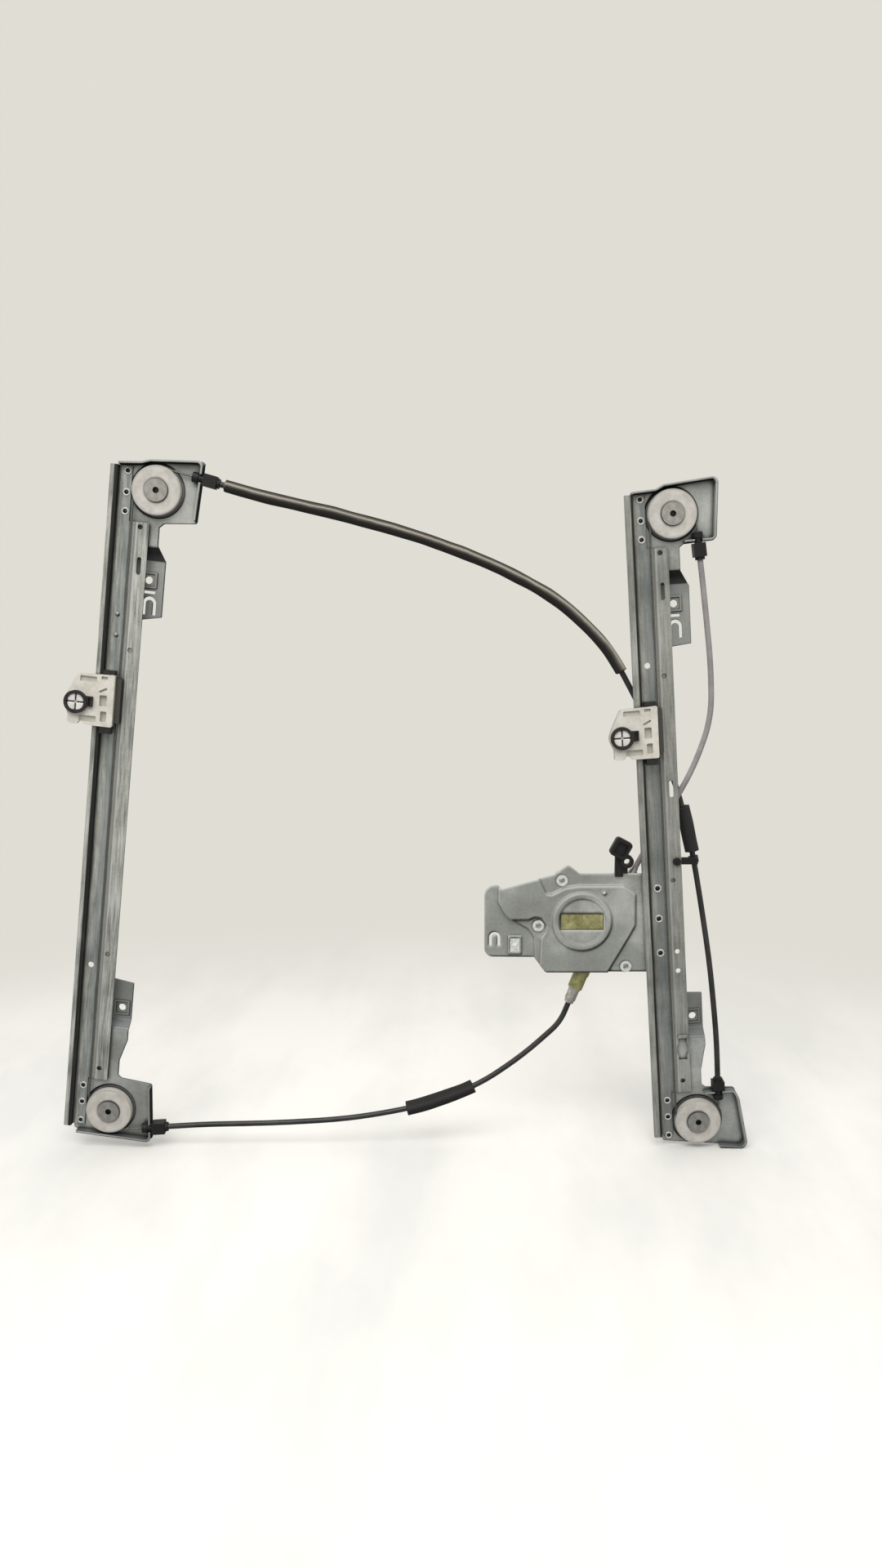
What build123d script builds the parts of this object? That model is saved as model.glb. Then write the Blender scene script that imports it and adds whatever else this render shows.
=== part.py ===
import os
from math import cos, radians, sin, tan
from build123d import *

# Window regulator with two rails and one closed cable circuit, in millimetres.
# X runs to the right and Z up as seen from the glass side, Y runs to the inside
# of the door. The origin is the drum axis in the door's inner panel plane.

# Driving dimensions
SHEET = 1.2
PLATE = 2.0
PLATE_FRONT = -16.0
PLATE_REAR = PLATE_FRONT + PLATE
TAB_FRONT = PLATE_FRONT + 2.0
PAD_REAR = -6.0
RUN = 0.4

RAIL_WIDTH = 36.0
RAIL_DEPTH = 7.0
FLANGE_WIDTH = 7.0
LIP_DEPTH = 3.6
STEP_AT = 23.0
STEP_WIDTH = 2.0
STEP_HEIGHT = 2.0
FACE_AT = STEP_AT + STEP_WIDTH
FACE_WIDTH = RAIL_WIDTH - FACE_AT
FACE_HOLE_R = 0.2 * FACE_WIDTH
RAIL_FRONT = PLATE_FRONT - RAIL_DEPTH
FACE_FRONT = PLATE_FRONT - STEP_HEIGHT - SHEET
STRIP_WIDTH = 18.0
RAIL_TOP = 18.0

CABLE_R = 0.8
CONDUIT_R = 2.5
CONDUIT_BORE = 1.3
FOAM_R = 5.7
SLEEVE_R = 6.8

PULLEY_R = 21.0
PULLEY_WIDTH = 5.6
WRAP_R = 19.5
PULLEY_GROOVE_R = WRAP_R - CABLE_R - 0.3
CABLE_Y = PLATE_FRONT - 4.4
PULLEY_U = STEP_AT - 2.0 + WRAP_R
AXLE_R = 5.0
AXLE_HEAD_R = 9.7
AXLE_HOLE_R = 2.7

DRUM_FRONT = -15.0
DRUM_REAR = -4.2
DRUM_TURNS = 5
HOUSING_R = 26.0
DRUM_WRAP_R = HOUSING_R - 6.0
DRUM_FLANGE_R = HOUSING_R - 3.6
PILOT_R = HOUSING_R - 11.0
PILOT_DEPTH = 3.0
DRIVE_R = 5.0
GROOVE_PITCH = 1.9
GROOVE_MID = (DRUM_FRONT + DRUM_REAR) / 2
LOWER_LEAD_Y = GROOVE_MID + GROOVE_PITCH
UPPER_LEAD_Y = GROOVE_MID
LOWER_LEAD_ANGLE = 248.4
UPPER_LEAD_ANGLE = 62.0

SCREW_PLACES = ((-18.5, 37.6), (-39.4, -4.2), (40.5, -42.2))
SCREW_BORE = 2.6
NUT_X, NUT_Z = -60.2, -22.8
PLATE_RIVETS = (-328, -356, -388)
BUSH_R = 4.4

CARRIER_HEIGHT = 45.8
CARRIER_FRONT = RAIL_FRONT - 6.0
NIPPLE_PLACES = (0.234 * CARRIER_HEIGHT, -0.281 * CARRIER_HEIGHT)
GLASS_U, GLASS_W = -13.0, -3.4
GLASS_BORE = 4.0
BOLT_R = 3.3


class Rail:
    """One rail with its two pulleys, in its own frame: u across, w along, rest the carrier's w."""

    def __init__(self, top, tilt, span, tail, rest, face_holes, dimples, slots, floor_hole):
        self.top, self.tilt, self.span, self.tail = top, tilt, span, tail
        self.rest = rest
        self.face_holes, self.dimples = face_holes, dimples
        self.slots, self.floor_hole = slots, floor_hole
        self.place = Location((top[0], 0, top[1]), (0, tilt, 0)) * Pos(-PULLEY_U, 0, 0)

    def world(self, u, w, y=0.0):
        spot = self.place * Pos(u, y, w)
        return spot.position

    def pulley(self, which):
        spot = self.world(PULLEY_U, 0 if which == "top" else -self.span)
        return spot.X, spot.Z

    def pin_places(self):
        """Where the rail's strip is clinched to its two brackets."""
        offsets = (14, -4, -20)
        return [(PIN_U, w) for w in offsets] + [(PIN_U, -self.span - w) for w in offsets]


# Face holes and slots are given as a share of the face's width and a height w
LEFT = Rail((-369.5, 378.7), 6.5, 560.5, 18.0, -183.1,
            [(0.32, -32), (0.27, -522)], [(0.24, -138), (0.27, -413)], [(0.42, -65)], (13, -425))
RIGHT = Rail((70.4, 359.2), -4.1, 549.0, 13.0, -185.3,
             [(0.36, -32), (0.27, -321), (0.36, -387), (0.36, -405), (0.36, -510)], [(0.27, -138)],
             [(0.45, -65), (0.45, -238)], (14, -128))
FLOOR_HOLE_R = 2.6
PIN_U = 14.0
PIN_R = 2.0
RIVET_R = 2.5
CLIP_AT = 0.734
CLIP_W = -304
CLIP_SHARE = 0.64


# Shaping helpers
def on_face(share):
    return FACE_AT + share * FACE_WIDTH


def slab(sketch, front, thickness):
    """A sketch drawn in X and Z, given thickness from its front plane back."""
    return Pos(0, front + thickness, 0) * extrude(Plane.XZ * sketch, thickness)


def area(points, radius=0.0):
    """A closed outline with rounded corners."""
    if radius:
        return make_face(FilletPolyline(*points, radius=radius, close=True))
    return make_face(Polyline(*points, close=True))


def rod(x, z, radius, front, rear):
    """A round bar along Y."""
    return slab(Pos(x, z) * Circle(radius), front, rear - front)


def ring(x, z, radius, bore, front, rear):
    return rod(x, z, radius, front, rear) - rod(x, z, bore, front - 1, rear + 1)


def box(u0, u1, front, rear, w0, w1):
    return Pos((u0 + u1) / 2, (front + rear) / 2, (w0 + w1) / 2) * Box(u1 - u0, rear - front, w1 - w0)


def strip(points, width, radius):
    """Bent sheet seen edge on: a line of even width with round bends."""
    return trace(FilletPolyline(*points, radius=radius), line_width=width)


def heading(angle):
    return Vector(cos(radians(angle)), 0, sin(radians(angle)))


def turned(profile, start, angle):
    """A profile of (distance, outer radius, bore) steps turned about a line in the XZ plane."""
    body = None
    for begin, end, outer, bore in profile:
        step = Pos(0, 0, (begin + end) / 2) * Cylinder(outer, end - begin)
        if bore:
            step -= Pos(0, 0, (begin + end) / 2) * Cylinder(bore, end - begin + 0.02)
        body = step if body is None else body + step
    return Location(Plane(start, x_dir=(0, 1, 0), z_dir=heading(angle))) * body


def tube(path, outer, bore=0.0):
    """A round cord or tube along a wire."""
    start = Plane(path @ 0, z_dir=path % 0)
    skin = sweep(start * Circle(outer), path=path)
    if bore:
        skin -= sweep(start * Circle(bore), path=path)
    return skin


# Cable exits at the pulleys: the tangent point and the way the cable leaves
def pulley_exit(rail, which, angle, side):
    x, z = rail.pulley(which)
    away = heading(angle - 90 * side)
    return Vector(x, CABLE_Y, z) + away * WRAP_R


TL_ANGLE, TR_ANGLE, BL_ANGLE, BR_ANGLE = -15.7, -81.8, 3.7, 93.4
TL_EXIT = pulley_exit(LEFT, "top", TL_ANGLE, -1)
TR_EXIT = pulley_exit(RIGHT, "top", TR_ANGLE, -1)
BL_EXIT = pulley_exit(LEFT, "bottom", BL_ANGLE, 1)
BR_EXIT = pulley_exit(RIGHT, "bottom", BR_ANGLE, 1)


def edge_reach(exit_point, angle, rail, first, second):
    """How far the cable runs from its pulley to the bracket's turned edge."""
    a, b = rail.world(*first), rail.world(*second)
    way, edge = heading(angle), b - a
    gap = a - exit_point
    return (gap.X * edge.Z - gap.Z * edge.X) / (way.X * edge.Z - way.Z * edge.X) - 1


TL_EDGE = [(7, 19.5), (27, 21.6), (34, 24), (78, 27.6), (75, -22)]
TR_EDGE = [(7, 19.5), (27, 20.5), (34, 24), (79.4, 28), (76, -23.5), (50, -24)]
BL_EDGE = [(12, -LEFT.span - 22.6), (80.4, -LEFT.span - 25), (75.6, -LEFT.span + 26)]
BR_EDGE = [(48, -RIGHT.span + 27), (75, -RIGHT.span + 27), (78, -RIGHT.span + 20), (84, -RIGHT.span - 23),
           (80, -RIGHT.span - 28), (60, -RIGHT.span - 25)]
TL_REACH = edge_reach(TL_EXIT, TL_ANGLE, LEFT, TL_EDGE[3], TL_EDGE[4])
TR_REACH = edge_reach(TR_EXIT, TR_ANGLE, RIGHT, TR_EDGE[4], TR_EDGE[5])
BL_REACH = edge_reach(BL_EXIT, BL_ANGLE, LEFT, BL_EDGE[1], BL_EDGE[2])
BR_REACH = edge_reach(BR_EXIT, BR_ANGLE, RIGHT, BR_EDGE[0], BR_EDGE[1])


def lead_point(angle, side, reach, y):
    """A point on the straight cable between the drum and its socket."""
    tangent = heading(angle + 90 * side) * DRUM_WRAP_R
    return tangent + heading(angle) * reach + Vector(0, y, 0)


LOWER_SOCKET_END, UPPER_SOCKET_END = 62.0, 50.0
LOWER_MOUTH, UPPER_MOUTH = LOWER_SOCKET_END + 12, UPPER_SOCKET_END + 4
LEAD_START = 9.5


def lower_lead(reach):
    return lead_point(LOWER_LEAD_ANGLE, 1, reach, LOWER_LEAD_Y)


def upper_lead(reach):
    return lead_point(UPPER_LEAD_ANGLE, -1, reach, UPPER_LEAD_Y)


# Conduit routes: points chosen along the real run, rounded as far as their runs allow
def rounded(points):
    """Straight runs joined by tangent arcs, each as large as its two runs let it be."""
    points = [Vector(*point) for point in points]
    radii = []
    for before, at, after in zip(points, points[1:], points[2:]):
        turn = radians((at - before).get_angle(after - at))
        shorter = min((at - before).length, (after - at).length)
        radii.append(0.45 * shorter / tan(turn / 2))
    print("route radii", [round(radius) for radius in radii])
    return FilletPolyline(*[tuple(point) for point in points], radius=radii)


def beyond(exit_point, angle, reach, extra):
    """A point on the straight line on which a cable leaves its pulley."""
    return tuple(exit_point + heading(angle) * (reach + extra))


CROSSING_POINTS = [
    beyond(TL_EXIT, TL_ANGLE, TL_REACH, 56), (-204, -20, 356.5), (-140, -19, 338.5), (-80, -17.4, 316),
    (-24, -15, 286.5), (20, -12, 245), (54, -9.4, 184), (83, -7.8, 126), (99, -7.6, 66), (109, -9.5, 12),
    (117.5, -14.5, -42), beyond(BR_EXIT, BR_ANGLE, BR_REACH, 52)]
UPPER_POINTS = [
    beyond(TR_EXIT, TR_ANGLE, TR_REACH, 50), (108, -19.8, 230), (110.5, -18.2, 184), (97, -15.4, 140),
    (77, -12.4, 101), tuple(upper_lead(UPPER_MOUTH + 28))]
LOWER_POINTS = [
    beyond(BL_EXIT, BL_ANGLE, BL_REACH, 50), (-277, -20, -191), (-209, -19, -187), (-146, -17, -176),
    (-92, -14.6, -156), (-51, -11.6, -128), tuple(lower_lead(LOWER_MOUTH + 24))]


def route(start, points, end):
    return rounded([tuple(start), *points, tuple(end)])


CONDUIT_INSET = 5.6


def crossing_route():
    start = beyond(TL_EXIT, TL_ANGLE, TL_REACH, CONDUIT_INSET)
    end = beyond(BR_EXIT, BR_ANGLE, BR_REACH, CONDUIT_INSET)
    return route(start, CROSSING_POINTS, end)


def upper_route():
    start = beyond(TR_EXIT, TR_ANGLE, TR_REACH, CONDUIT_INSET)
    return route(start, UPPER_POINTS, upper_lead(UPPER_MOUTH))


def lower_route():
    start = beyond(BL_EXIT, BL_ANGLE, BL_REACH, CONDUIT_INSET)
    return route(start, LOWER_POINTS, lower_lead(LOWER_MOUTH))


# Rails
def rail_section():
    half = SHEET / 2
    rear = RAIL_DEPTH - half
    face = rear - STEP_HEIGHT
    points = [(half, LIP_DEPTH), (half, half), (FLANGE_WIDTH - half, half),
              (FLANGE_WIDTH - half, rear), (STEP_AT, rear), (STEP_AT + STEP_WIDTH, face),
              (RAIL_WIDTH, face)]
    return strip(points, SHEET, 1.0)


def rail_body(rail):
    top, bottom = RAIL_TOP, -rail.span - rail.tail
    body = Pos(0, RAIL_FRONT, bottom) * extrude(rail_section(), top - bottom)
    room = PULLEY_R + 7
    for low, high in ((-room, top + 1), (bottom - 1, -rail.span + room)):
        body -= box(STRIP_WIDTH, RAIL_WIDTH + 1, RAIL_FRONT - 1, PLATE_FRONT + 1, low, high)
    for share, w in rail.face_holes + rail.dimples:
        body = drilled(body, [(on_face(share), w)], FACE_HOLE_R)
    for share, w in rail.dimples:
        body += rod(on_face(share), w, FACE_HOLE_R + 0.8, FACE_FRONT + SHEET, FACE_FRONT + SHEET + 0.8)
    body = drilled(body, [rail.floor_hole], FLOOR_HOLE_R)
    body = drilled(body, rail.pin_places(), PIN_R)
    for share, w in rail.slots:
        slot = SlotOverall(15, FACE_WIDTH / 3, rotation=90)
        body -= slab(Pos(on_face(share), w) * slot, RAIL_FRONT - 1, RAIL_DEPTH + 2)
    return body


def rail_left():
    body = rail_body(LEFT)
    for w in (-108, -126):
        body += Pos(PIN_U, PLATE_FRONT - SHEET + 0.7, w) * Sphere(2.2)
    body -= box(FLANGE_WIDTH + 1, STEP_AT, PLATE_FRONT, PLATE_FRONT + 4, -140, -100)
    return LEFT.place * body


def rail_right():
    body = rail_body(RIGHT)
    body = drilled(body, [(PIN_U, w) for w in PLATE_RIVETS], RIVET_R)
    body = drilled(body, [(on_face(CLIP_SHARE), CLIP_W)], FACE_HOLE_R)
    opening = Rectangle(0.7 * FACE_WIDTH, 20) + SlotOverall(15, 0.95 * FACE_WIDTH, rotation=90)
    body -= slab(Pos(on_face(0.46), -480) * opening, FACE_FRONT - 1, 4)
    body += box(on_face(0.08), on_face(0.86), FACE_FRONT - 2.2, FACE_FRONT + 0.4, -468.5, -466)
    return RIGHT.place * body


# Pulley brackets
def pocket(body, u, w):
    """The dished seat behind a pulley, with the axle boss standing up in it."""
    turn = Rotation(90, 0, 0)
    deep, wide = 1.6, PULLEY_R + 2.6
    front = Pos(u, PLATE_FRONT + deep / 2, w) * turn * Cone(wide - deep, wide, deep)
    rear = Pos(u, PLATE_REAR + deep / 2, w) * turn * Cone(wide - deep, wide, deep)
    body = body + rear - front
    seat = PULLEY_WIDTH / 2 + CABLE_Y
    body += rod(u, w, 7.4, seat + 0.02, PLATE_REAR + deep)
    return body - rod(u, w, AXLE_R, seat - 1, PLATE_REAR + deep + 1)


def pad(direction, plate_edge, joggle, end, sides, neck, shoulder, slant=0.0):
    """The fixing pad: a neck, a joggle back to the door panel and a wide flat end."""
    mid, pad_mid = PLATE_FRONT + PLATE / 2, PAD_REAR - PLATE / 2
    left, right = sides
    line = [(mid, plate_edge), (mid, joggle[0]), (pad_mid, joggle[1]), (pad_mid, end)]
    body = Pos(left, 0, 0) * extrude(Plane.YZ * strip(line, PLATE, 3), right - left)
    waist = [(right + 1, plate_edge), (neck, plate_edge), (neck, shoulder[0]), (right, shoulder[1]),
             (right + 1, shoulder[1])]
    body -= slab(area(waist), PLATE_FRONT - 1, PLATE - PLATE_FRONT)
    far = end + direction
    corner = [(left - 1, far), (right + 1, far), (right + 1, end - direction * slant), (left - 1, end)]
    return body - slab(area(corner), PLATE_FRONT - 1, PLATE - PLATE_FRONT)


def hole_frame(u, w):
    """The square emboss round a pad's bolt hole."""
    frame = Rectangle(14, 14) - Rectangle(10.4, 10.4)
    return slab(Pos(u, w) * frame, PAD_REAR - PLATE - 0.8, 1.2)


def bolt_hole(u, w):
    return rod(u, w, BOLT_R, PAD_REAR - PLATE - 2, PAD_REAR + 1)


def locating_tongue(u, w):
    """The arched slot that frees a small tongue in the pad, with a slit above it."""
    arch = Circle(6) + Pos(0, -5) * Rectangle(12, 10)
    tongue = Circle(3) + Pos(0, -6) * Rectangle(6, 12)
    slit = Pos(-1, 9.6) * Rectangle(11, 2.4)
    return slab(Pos(u, w) * (arch - tongue + slit), PAD_REAR - PLATE - 1, PLATE + 2)


def turned_edge(points, height=8.0):
    """The edge flange that stands up towards the glass side."""
    line = trace(FilletPolyline(*points, radius=4), line_width=PLATE)
    return slab(line, PLATE_FRONT - height, height + PLATE)


def conduit_notch(exit_point, angle, reach):
    """The open slot in the edge flange that the conduit end drops into."""
    place = Location(Plane(exit_point + heading(angle) * (reach + 6), x_dir=(0, 1, 0),
                           z_dir=heading(angle)))
    return place * (Cylinder(3.3, 14) + Pos(-6, 0, 0) * Box(12, 6.6, 14))


def bracket_top_left():
    outline = [(8, -40), (6, 20.4), (27, 22.6), (34, 25), (79, 28.6), (76, -24), (48, -27), (34, -40)]
    body = slab(area(outline, 2.4), PLATE_FRONT, PLATE)
    body += turned_edge(TL_EDGE)
    body = pocket(body, PULLEY_U, 0)
    body += pad(-1, -26, (-47, -59), -113, (24, 50), 44, (-46, -59), 6)
    body += hole_frame(37, -76)
    body -= locating_tongue(38.4, -96) + bolt_hole(36.6, -76)
    body = drilled(body, LEFT.pin_places(), PIN_R)
    return LEFT.place * body - conduit_notch(TL_EXIT, TL_ANGLE, TL_REACH)


def bracket_top_right():
    outline = [(8, -38), (6, 20.4), (27, 21.4), (34, 25), (80.4, 29), (77, -24.4), (50, -26), (34, -38)]
    body = slab(area(outline, 2.4), PLATE_FRONT, PLATE)
    body += turned_edge(TR_EDGE)
    body = pocket(body, PULLEY_U, 0)
    body += pad(-1, -24, (-47, -59), -115, (24, 55), 46.5, (-48, -61), 3.5)
    body += hole_frame(41, -76)
    body -= locating_tongue(41.6, -96) + bolt_hole(41, -76)
    body = drilled(body, RIGHT.pin_places(), PIN_R)
    return RIGHT.place * body - conduit_notch(TR_EXIT, TR_ANGLE, TR_REACH)


def bracket_bottom_left():
    low = -LEFT.span
    outline = [(34, low + 42), (8, low + 42), (8, low - 22), (12, low - 23.6), (81.4, low - 26), (76.6, low + 27), (48, low + 30)]
    body = slab(area(outline, 2.4), PLATE_FRONT, PLATE)
    body += turned_edge(BL_EDGE)
    body = pocket(body, PULLEY_U, low)
    body += pad(1, low + 26, (-484, -477), -437.5, (24, 51), 45, (-514, -494), 4.5)
    body += hole_frame(42, -465.5)
    body -= bolt_hole(42, -465.5)
    body = drilled(body, LEFT.pin_places(), PIN_R)
    return LEFT.place * body - conduit_notch(BL_EXIT, BL_ANGLE, BL_REACH)


def bracket_bottom_right():
    low = -RIGHT.span
    outline = [(34, low + 44), (8, low + 44), (8, low - 19), (60, low - 26), (81, low - 29), (85, low - 23),
               (79, low + 20), (76, low + 28), (50, low + 30)]
    body = slab(area(outline, 2.4), PLATE_FRONT, PLATE)
    body += turned_edge(BR_EDGE)
    body = pocket(body, PULLEY_U, low)
    body += pad(1, low + 26, (-471, -464), -429, (24, 51.5), 46.5, (-502, -478), 2)
    body += hole_frame(42.2, -452.5)
    body -= bolt_hole(42.2, -452.5)
    body = drilled(body, RIGHT.pin_places(), PIN_R)
    return RIGHT.place * body - conduit_notch(BR_EXIT, BR_ANGLE, BR_REACH)


def clinch_pins(rail):
    """Clinched joints that hold the rail's strip to its brackets."""
    front, rear = PLATE_FRONT - SHEET, PLATE_REAR
    pins = []
    for u, w in rail.pin_places():
        pin = rod(u, w, PIN_R, front, rear)
        pin += rod(u, w, PIN_R + 0.7, front - 0.5, front) + rod(u, w, PIN_R + 0.7, rear, rear + 0.5)
        pins.append(rail.place * (pin - rod(u, w, PIN_R - 0.8, front - 1, front + 0.4)))
    return Compound(pins)


def drilled(body, places, radius):
    for u, w in places:
        body -= rod(u, w, radius, RAIL_FRONT - 1, PLATE_REAR + 1)
    return body


# Drum plate: a set-back tab on the left, the plate itself and a raised dish on the drum
PLATE_OUTLINE = [(-88, 33.4), (-76, 32.6), (-73.2, 29.8), (-47, 37.2), (-26, 42.6), (-13.4, 52), (-2.8, 44),
                 (84, 43.8), (84, -43), (76, -47.5), (-32.5, -47.5), (-42.6, -34.4), (-87.8, -34)]
CORNER_RADII = [10, 1, 1, 6, 3, 3, 2, 3, 2, 3, 4, 2, 8]
SEAM = [(-75.5, 60), (-75.5, 17.6), (-70.3, 7.9), (-63.9, 1.4), (-48.1, -7.3), (-42.9, -14.9), (-41, -60)]
DISH = [(-63.9, 1.4), (-48, 1.4), (-42.5, 4), (-36.6, 3.3), (-31.9, -3), (-32.8, -9.5), (-37, -16), (-38, -60),
        (17, -60), (42.5, -14.9), (48.2, -4), (47.8, 25.2), (37.2, 32.4), (-2.8, 32.4), (-15.5, 30.7),
        (-28, 24.2), (-33, 25.4), (-49, 60), *SEAM[:3]]
DISH_RISE, CAP_RISE = 3.0, 2.0


def drum_plate():
    dish_front = PLATE_FRONT - DISH_RISE
    outline = area(PLATE_OUTLINE, CORNER_RADII)
    tab = outline & area([(-100, 60), *SEAM, (-100, -60)])
    dish = area(DISH)
    body = slab(outline - tab, PLATE_FRONT, PLATE) + slab(tab, TAB_FRONT, PLATE)
    wall = offset(area([(-100, 60), *SEAM, (-100, -60)]), PLATE) & (outline - tab)
    body += slab(wall, PLATE_FRONT, TAB_FRONT + PLATE - PLATE_FRONT)
    body += slab(outline & dish, dish_front, DISH_RISE + 0.1)
    body -= slab(offset(dish, -PLATE), dish_front + PLATE, 10)
    body += rod(0, 0, HOUSING_R + 0.5, dish_front - CAP_RISE, dish_front + PLATE)
    body -= rod(0, 0, HOUSING_R - 1.5, dish_front - CAP_RISE + PLATE, 0)
    body -= rod(0, 0, HOUSING_R - 4.5, dish_front - CAP_RISE - 1, dish_front - CAP_RISE + 0.7)
    body -= box(-19.6, 19.2, -40, 0, -7.4, 7.6)
    for x, z in SCREW_PLACES:
        body += ring(x, z, BUSH_R + 0.9, BUSH_R, PLATE_FRONT - 0.6, PLATE_REAR)
        body -= rod(x, z, BUSH_R + 0.05, -40, 0)
    body += Pos(19.6, dish_front, 26.2) * Sphere(1.8)
    body -= rod(NUT_X, NUT_Z, 4.4, -40, 0)
    body -= slab(Pos(-78.5, -16) * (Circle(5) + Pos(0, -4) * Rectangle(10, 8)
                 - Circle(2.6) - Pos(0, -4.6) * Rectangle(5.2, 9.2)), -40, 40)
    for w in PLATE_RIVETS:
        spot = RIGHT.world(PIN_U, w)
        body -= rod(spot.X, spot.Z, RIVET_R, -40, 0)
    return body


def plate_rivets():
    """Hollow rivets through the right rail and the drum plate."""
    rivets = []
    for w in PLATE_RIVETS:
        body = rod(PIN_U, w, RIVET_R, PLATE_FRONT - SHEET, PLATE_REAR)
        body += rod(PIN_U, w, 3.8, PLATE_FRONT - SHEET - 0.4, PLATE_FRONT - SHEET)
        body += rod(PIN_U, w, 3.8, PLATE_REAR, PLATE_REAR + 0.8)
        rivets.append(body - rod(PIN_U, w, 1.6, -40, 0))
    return Compound([RIGHT.place * rivet for rivet in rivets])


# Drum, its housing and the motor interface
def screw_web(x, z):
    """A flat web that carries one motor screw boss on the housing."""
    reach = (x * x + z * z) ** 0.5
    direction = Vector(x, 0, z) * (1 / reach)
    side = Vector(-direction.Z, 0, direction.X) * 4.5
    near, far = direction * (HOUSING_R - 3), Vector(x, 0, z)
    points = [near + side, far + side, far - side, near - side]
    return slab(area([(p.X, p.Z) for p in points]), -10, 5.5)


def drum_housing():
    front, rear = PLATE_FRONT - DISH_RISE + PLATE, DRUM_REAR + 0.3
    body = rod(0, 0, HOUSING_R, front, rear)
    body += box(-19, 18.6, front - 2.4, front, -6.8, 7)
    for x, z in SCREW_PLACES:
        body += rod(x, z, BUSH_R + 2, PLATE_REAR, rear) + screw_web(x, z)
    sockets = ((lower_lead, LOWER_LEAD_ANGLE, LOWER_SOCKET_END, 7.4),
               (upper_lead, UPPER_LEAD_ANGLE, UPPER_SOCKET_END, 4.2))
    for lead, angle, end, outer in sockets:
        body += turned([(14, end - 14, outer, 0), (end - 14, end, outer * 0.9, 0)], lead(0), angle)
    body -= rod(0, 0, DRUM_FLANGE_R + 0.8, DRUM_FRONT - 0.3, 1)
    body -= rod(0, 0, HOUSING_R + 0.1, rear, 1) + box(-80, 80, -PILOT_DEPTH - 0.1, 1, -80, 80)
    for lead, angle, end, outer in sockets:
        body -= turned([(10, 30, 1.4, 0), (30, end + 1, CHAMBER_R, 0)], lead(0), angle)
    for x, z in SCREW_PLACES:
        body -= rod(x, z, BUSH_R, PLATE_REAR - 9, 1)
    body -= box(-0.4, 0.4, front - 3, front - 1.9, -7, 8)
    return body


CHAMBER_R = 3.3


def housing_cover():
    body = ring(0, 0, HOUSING_R, PILOT_R, DRUM_REAR + 0.3, 0)
    body -= rod(0, 0, PILOT_R + 1.5, DRUM_REAR, -PILOT_DEPTH)
    for quarter in range(4):
        spot = heading(45 + 90 * quarter) * (HOUSING_R - 4)
        body -= rod(spot.X, spot.Z, 1.2, -1.5, 1)
    return body


def drum():
    """The grooved drum with its hub and toothed drive bore."""
    body = rod(0, 0, DRUM_WRAP_R - CABLE_R - 0.1, DRUM_FRONT, DRUM_REAR)
    body += rod(0, 0, DRUM_FLANGE_R, DRUM_FRONT, DRUM_FRONT + 0.7)
    body += rod(0, 0, DRUM_FLANGE_R, DRUM_REAR - 0.7, DRUM_REAR)
    for turn in range(DRUM_TURNS + 1):
        y = GROOVE_MID + (turn - DRUM_TURNS / 2) * GROOVE_PITCH
        body += rod(0, 0, DRUM_WRAP_R, y - 0.12, y + 0.12)
    body -= ring(0, 0, DRUM_WRAP_R - 4, DRIVE_R + 4, DRUM_FRONT + 2, 0)
    body -= rod(0, 0, DRIVE_R, DRUM_FRONT + 1.5, 1)
    for tooth in range(6):
        spot = heading(60 * tooth) * (DRIVE_R + 0.2)
        body -= rod(spot.X, spot.Z, 0.9, DRUM_FRONT + 1.5, 1)
    return body


def drum_windings():
    """The turns of cable that lie in the drum's grooves."""
    turns = []
    for turn in range(DRUM_TURNS):
        y = GROOVE_MID + (turn - (DRUM_TURNS - 1) / 2) * GROOVE_PITCH
        turns.append(Pos(0, y, 0) * Rotation(90, 0, 0) * Torus(DRUM_WRAP_R, CABLE_R - 0.1))
    return Compound(turns)


def motor_bushes():
    bushes = []
    for x, z in SCREW_PLACES:
        body = rod(x, z, BUSH_R, PLATE_FRONT - 1.2, 0)
        body += rod(x, z, BUSH_R + 0.7, PLATE_FRONT - 1.8, PLATE_FRONT - 1.2)
        bushes.append(body - rod(x, z, SCREW_BORE, -40, 1))
    return Compound(bushes)


def ferrule(lead, angle, end, outer):
    return turned([(end - 5, end, CHAMBER_R - 0.05, CABLE_R + 0.5), (end, end + 2, outer + 0.5, CABLE_R + 0.5),
                   (end + 2, end + 12, outer, CONDUIT_R), (end + 12, end + 15, outer - 0.8, CONDUIT_R)],
                  lead(0), angle)


def ferrule_lower():
    return ferrule(lower_lead, LOWER_LEAD_ANGLE, LOWER_SOCKET_END, 5.0)


def ferrule_upper():
    return ferrule(upper_lead, UPPER_LEAD_ANGLE, UPPER_SOCKET_END, 3.9)


def tension_spring(lead, angle, end):
    """The coil spring that takes up slack in the conduit."""
    wire, height = 0.35, end - 5 - 31.2
    coil = Helix(pitch=2.2, height=height, radius=2.4)
    body = sweep(Plane(coil @ 0, z_dir=coil % 0) * Circle(wire), path=coil)
    return Location(Plane(lead(30.6), x_dir=(0, 1, 0), z_dir=heading(angle))) * body


def spring_lower():
    return tension_spring(lower_lead, LOWER_LEAD_ANGLE, LOWER_SOCKET_END)


def spring_upper():
    return tension_spring(upper_lead, UPPER_LEAD_ANGLE, UPPER_SOCKET_END)


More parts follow.
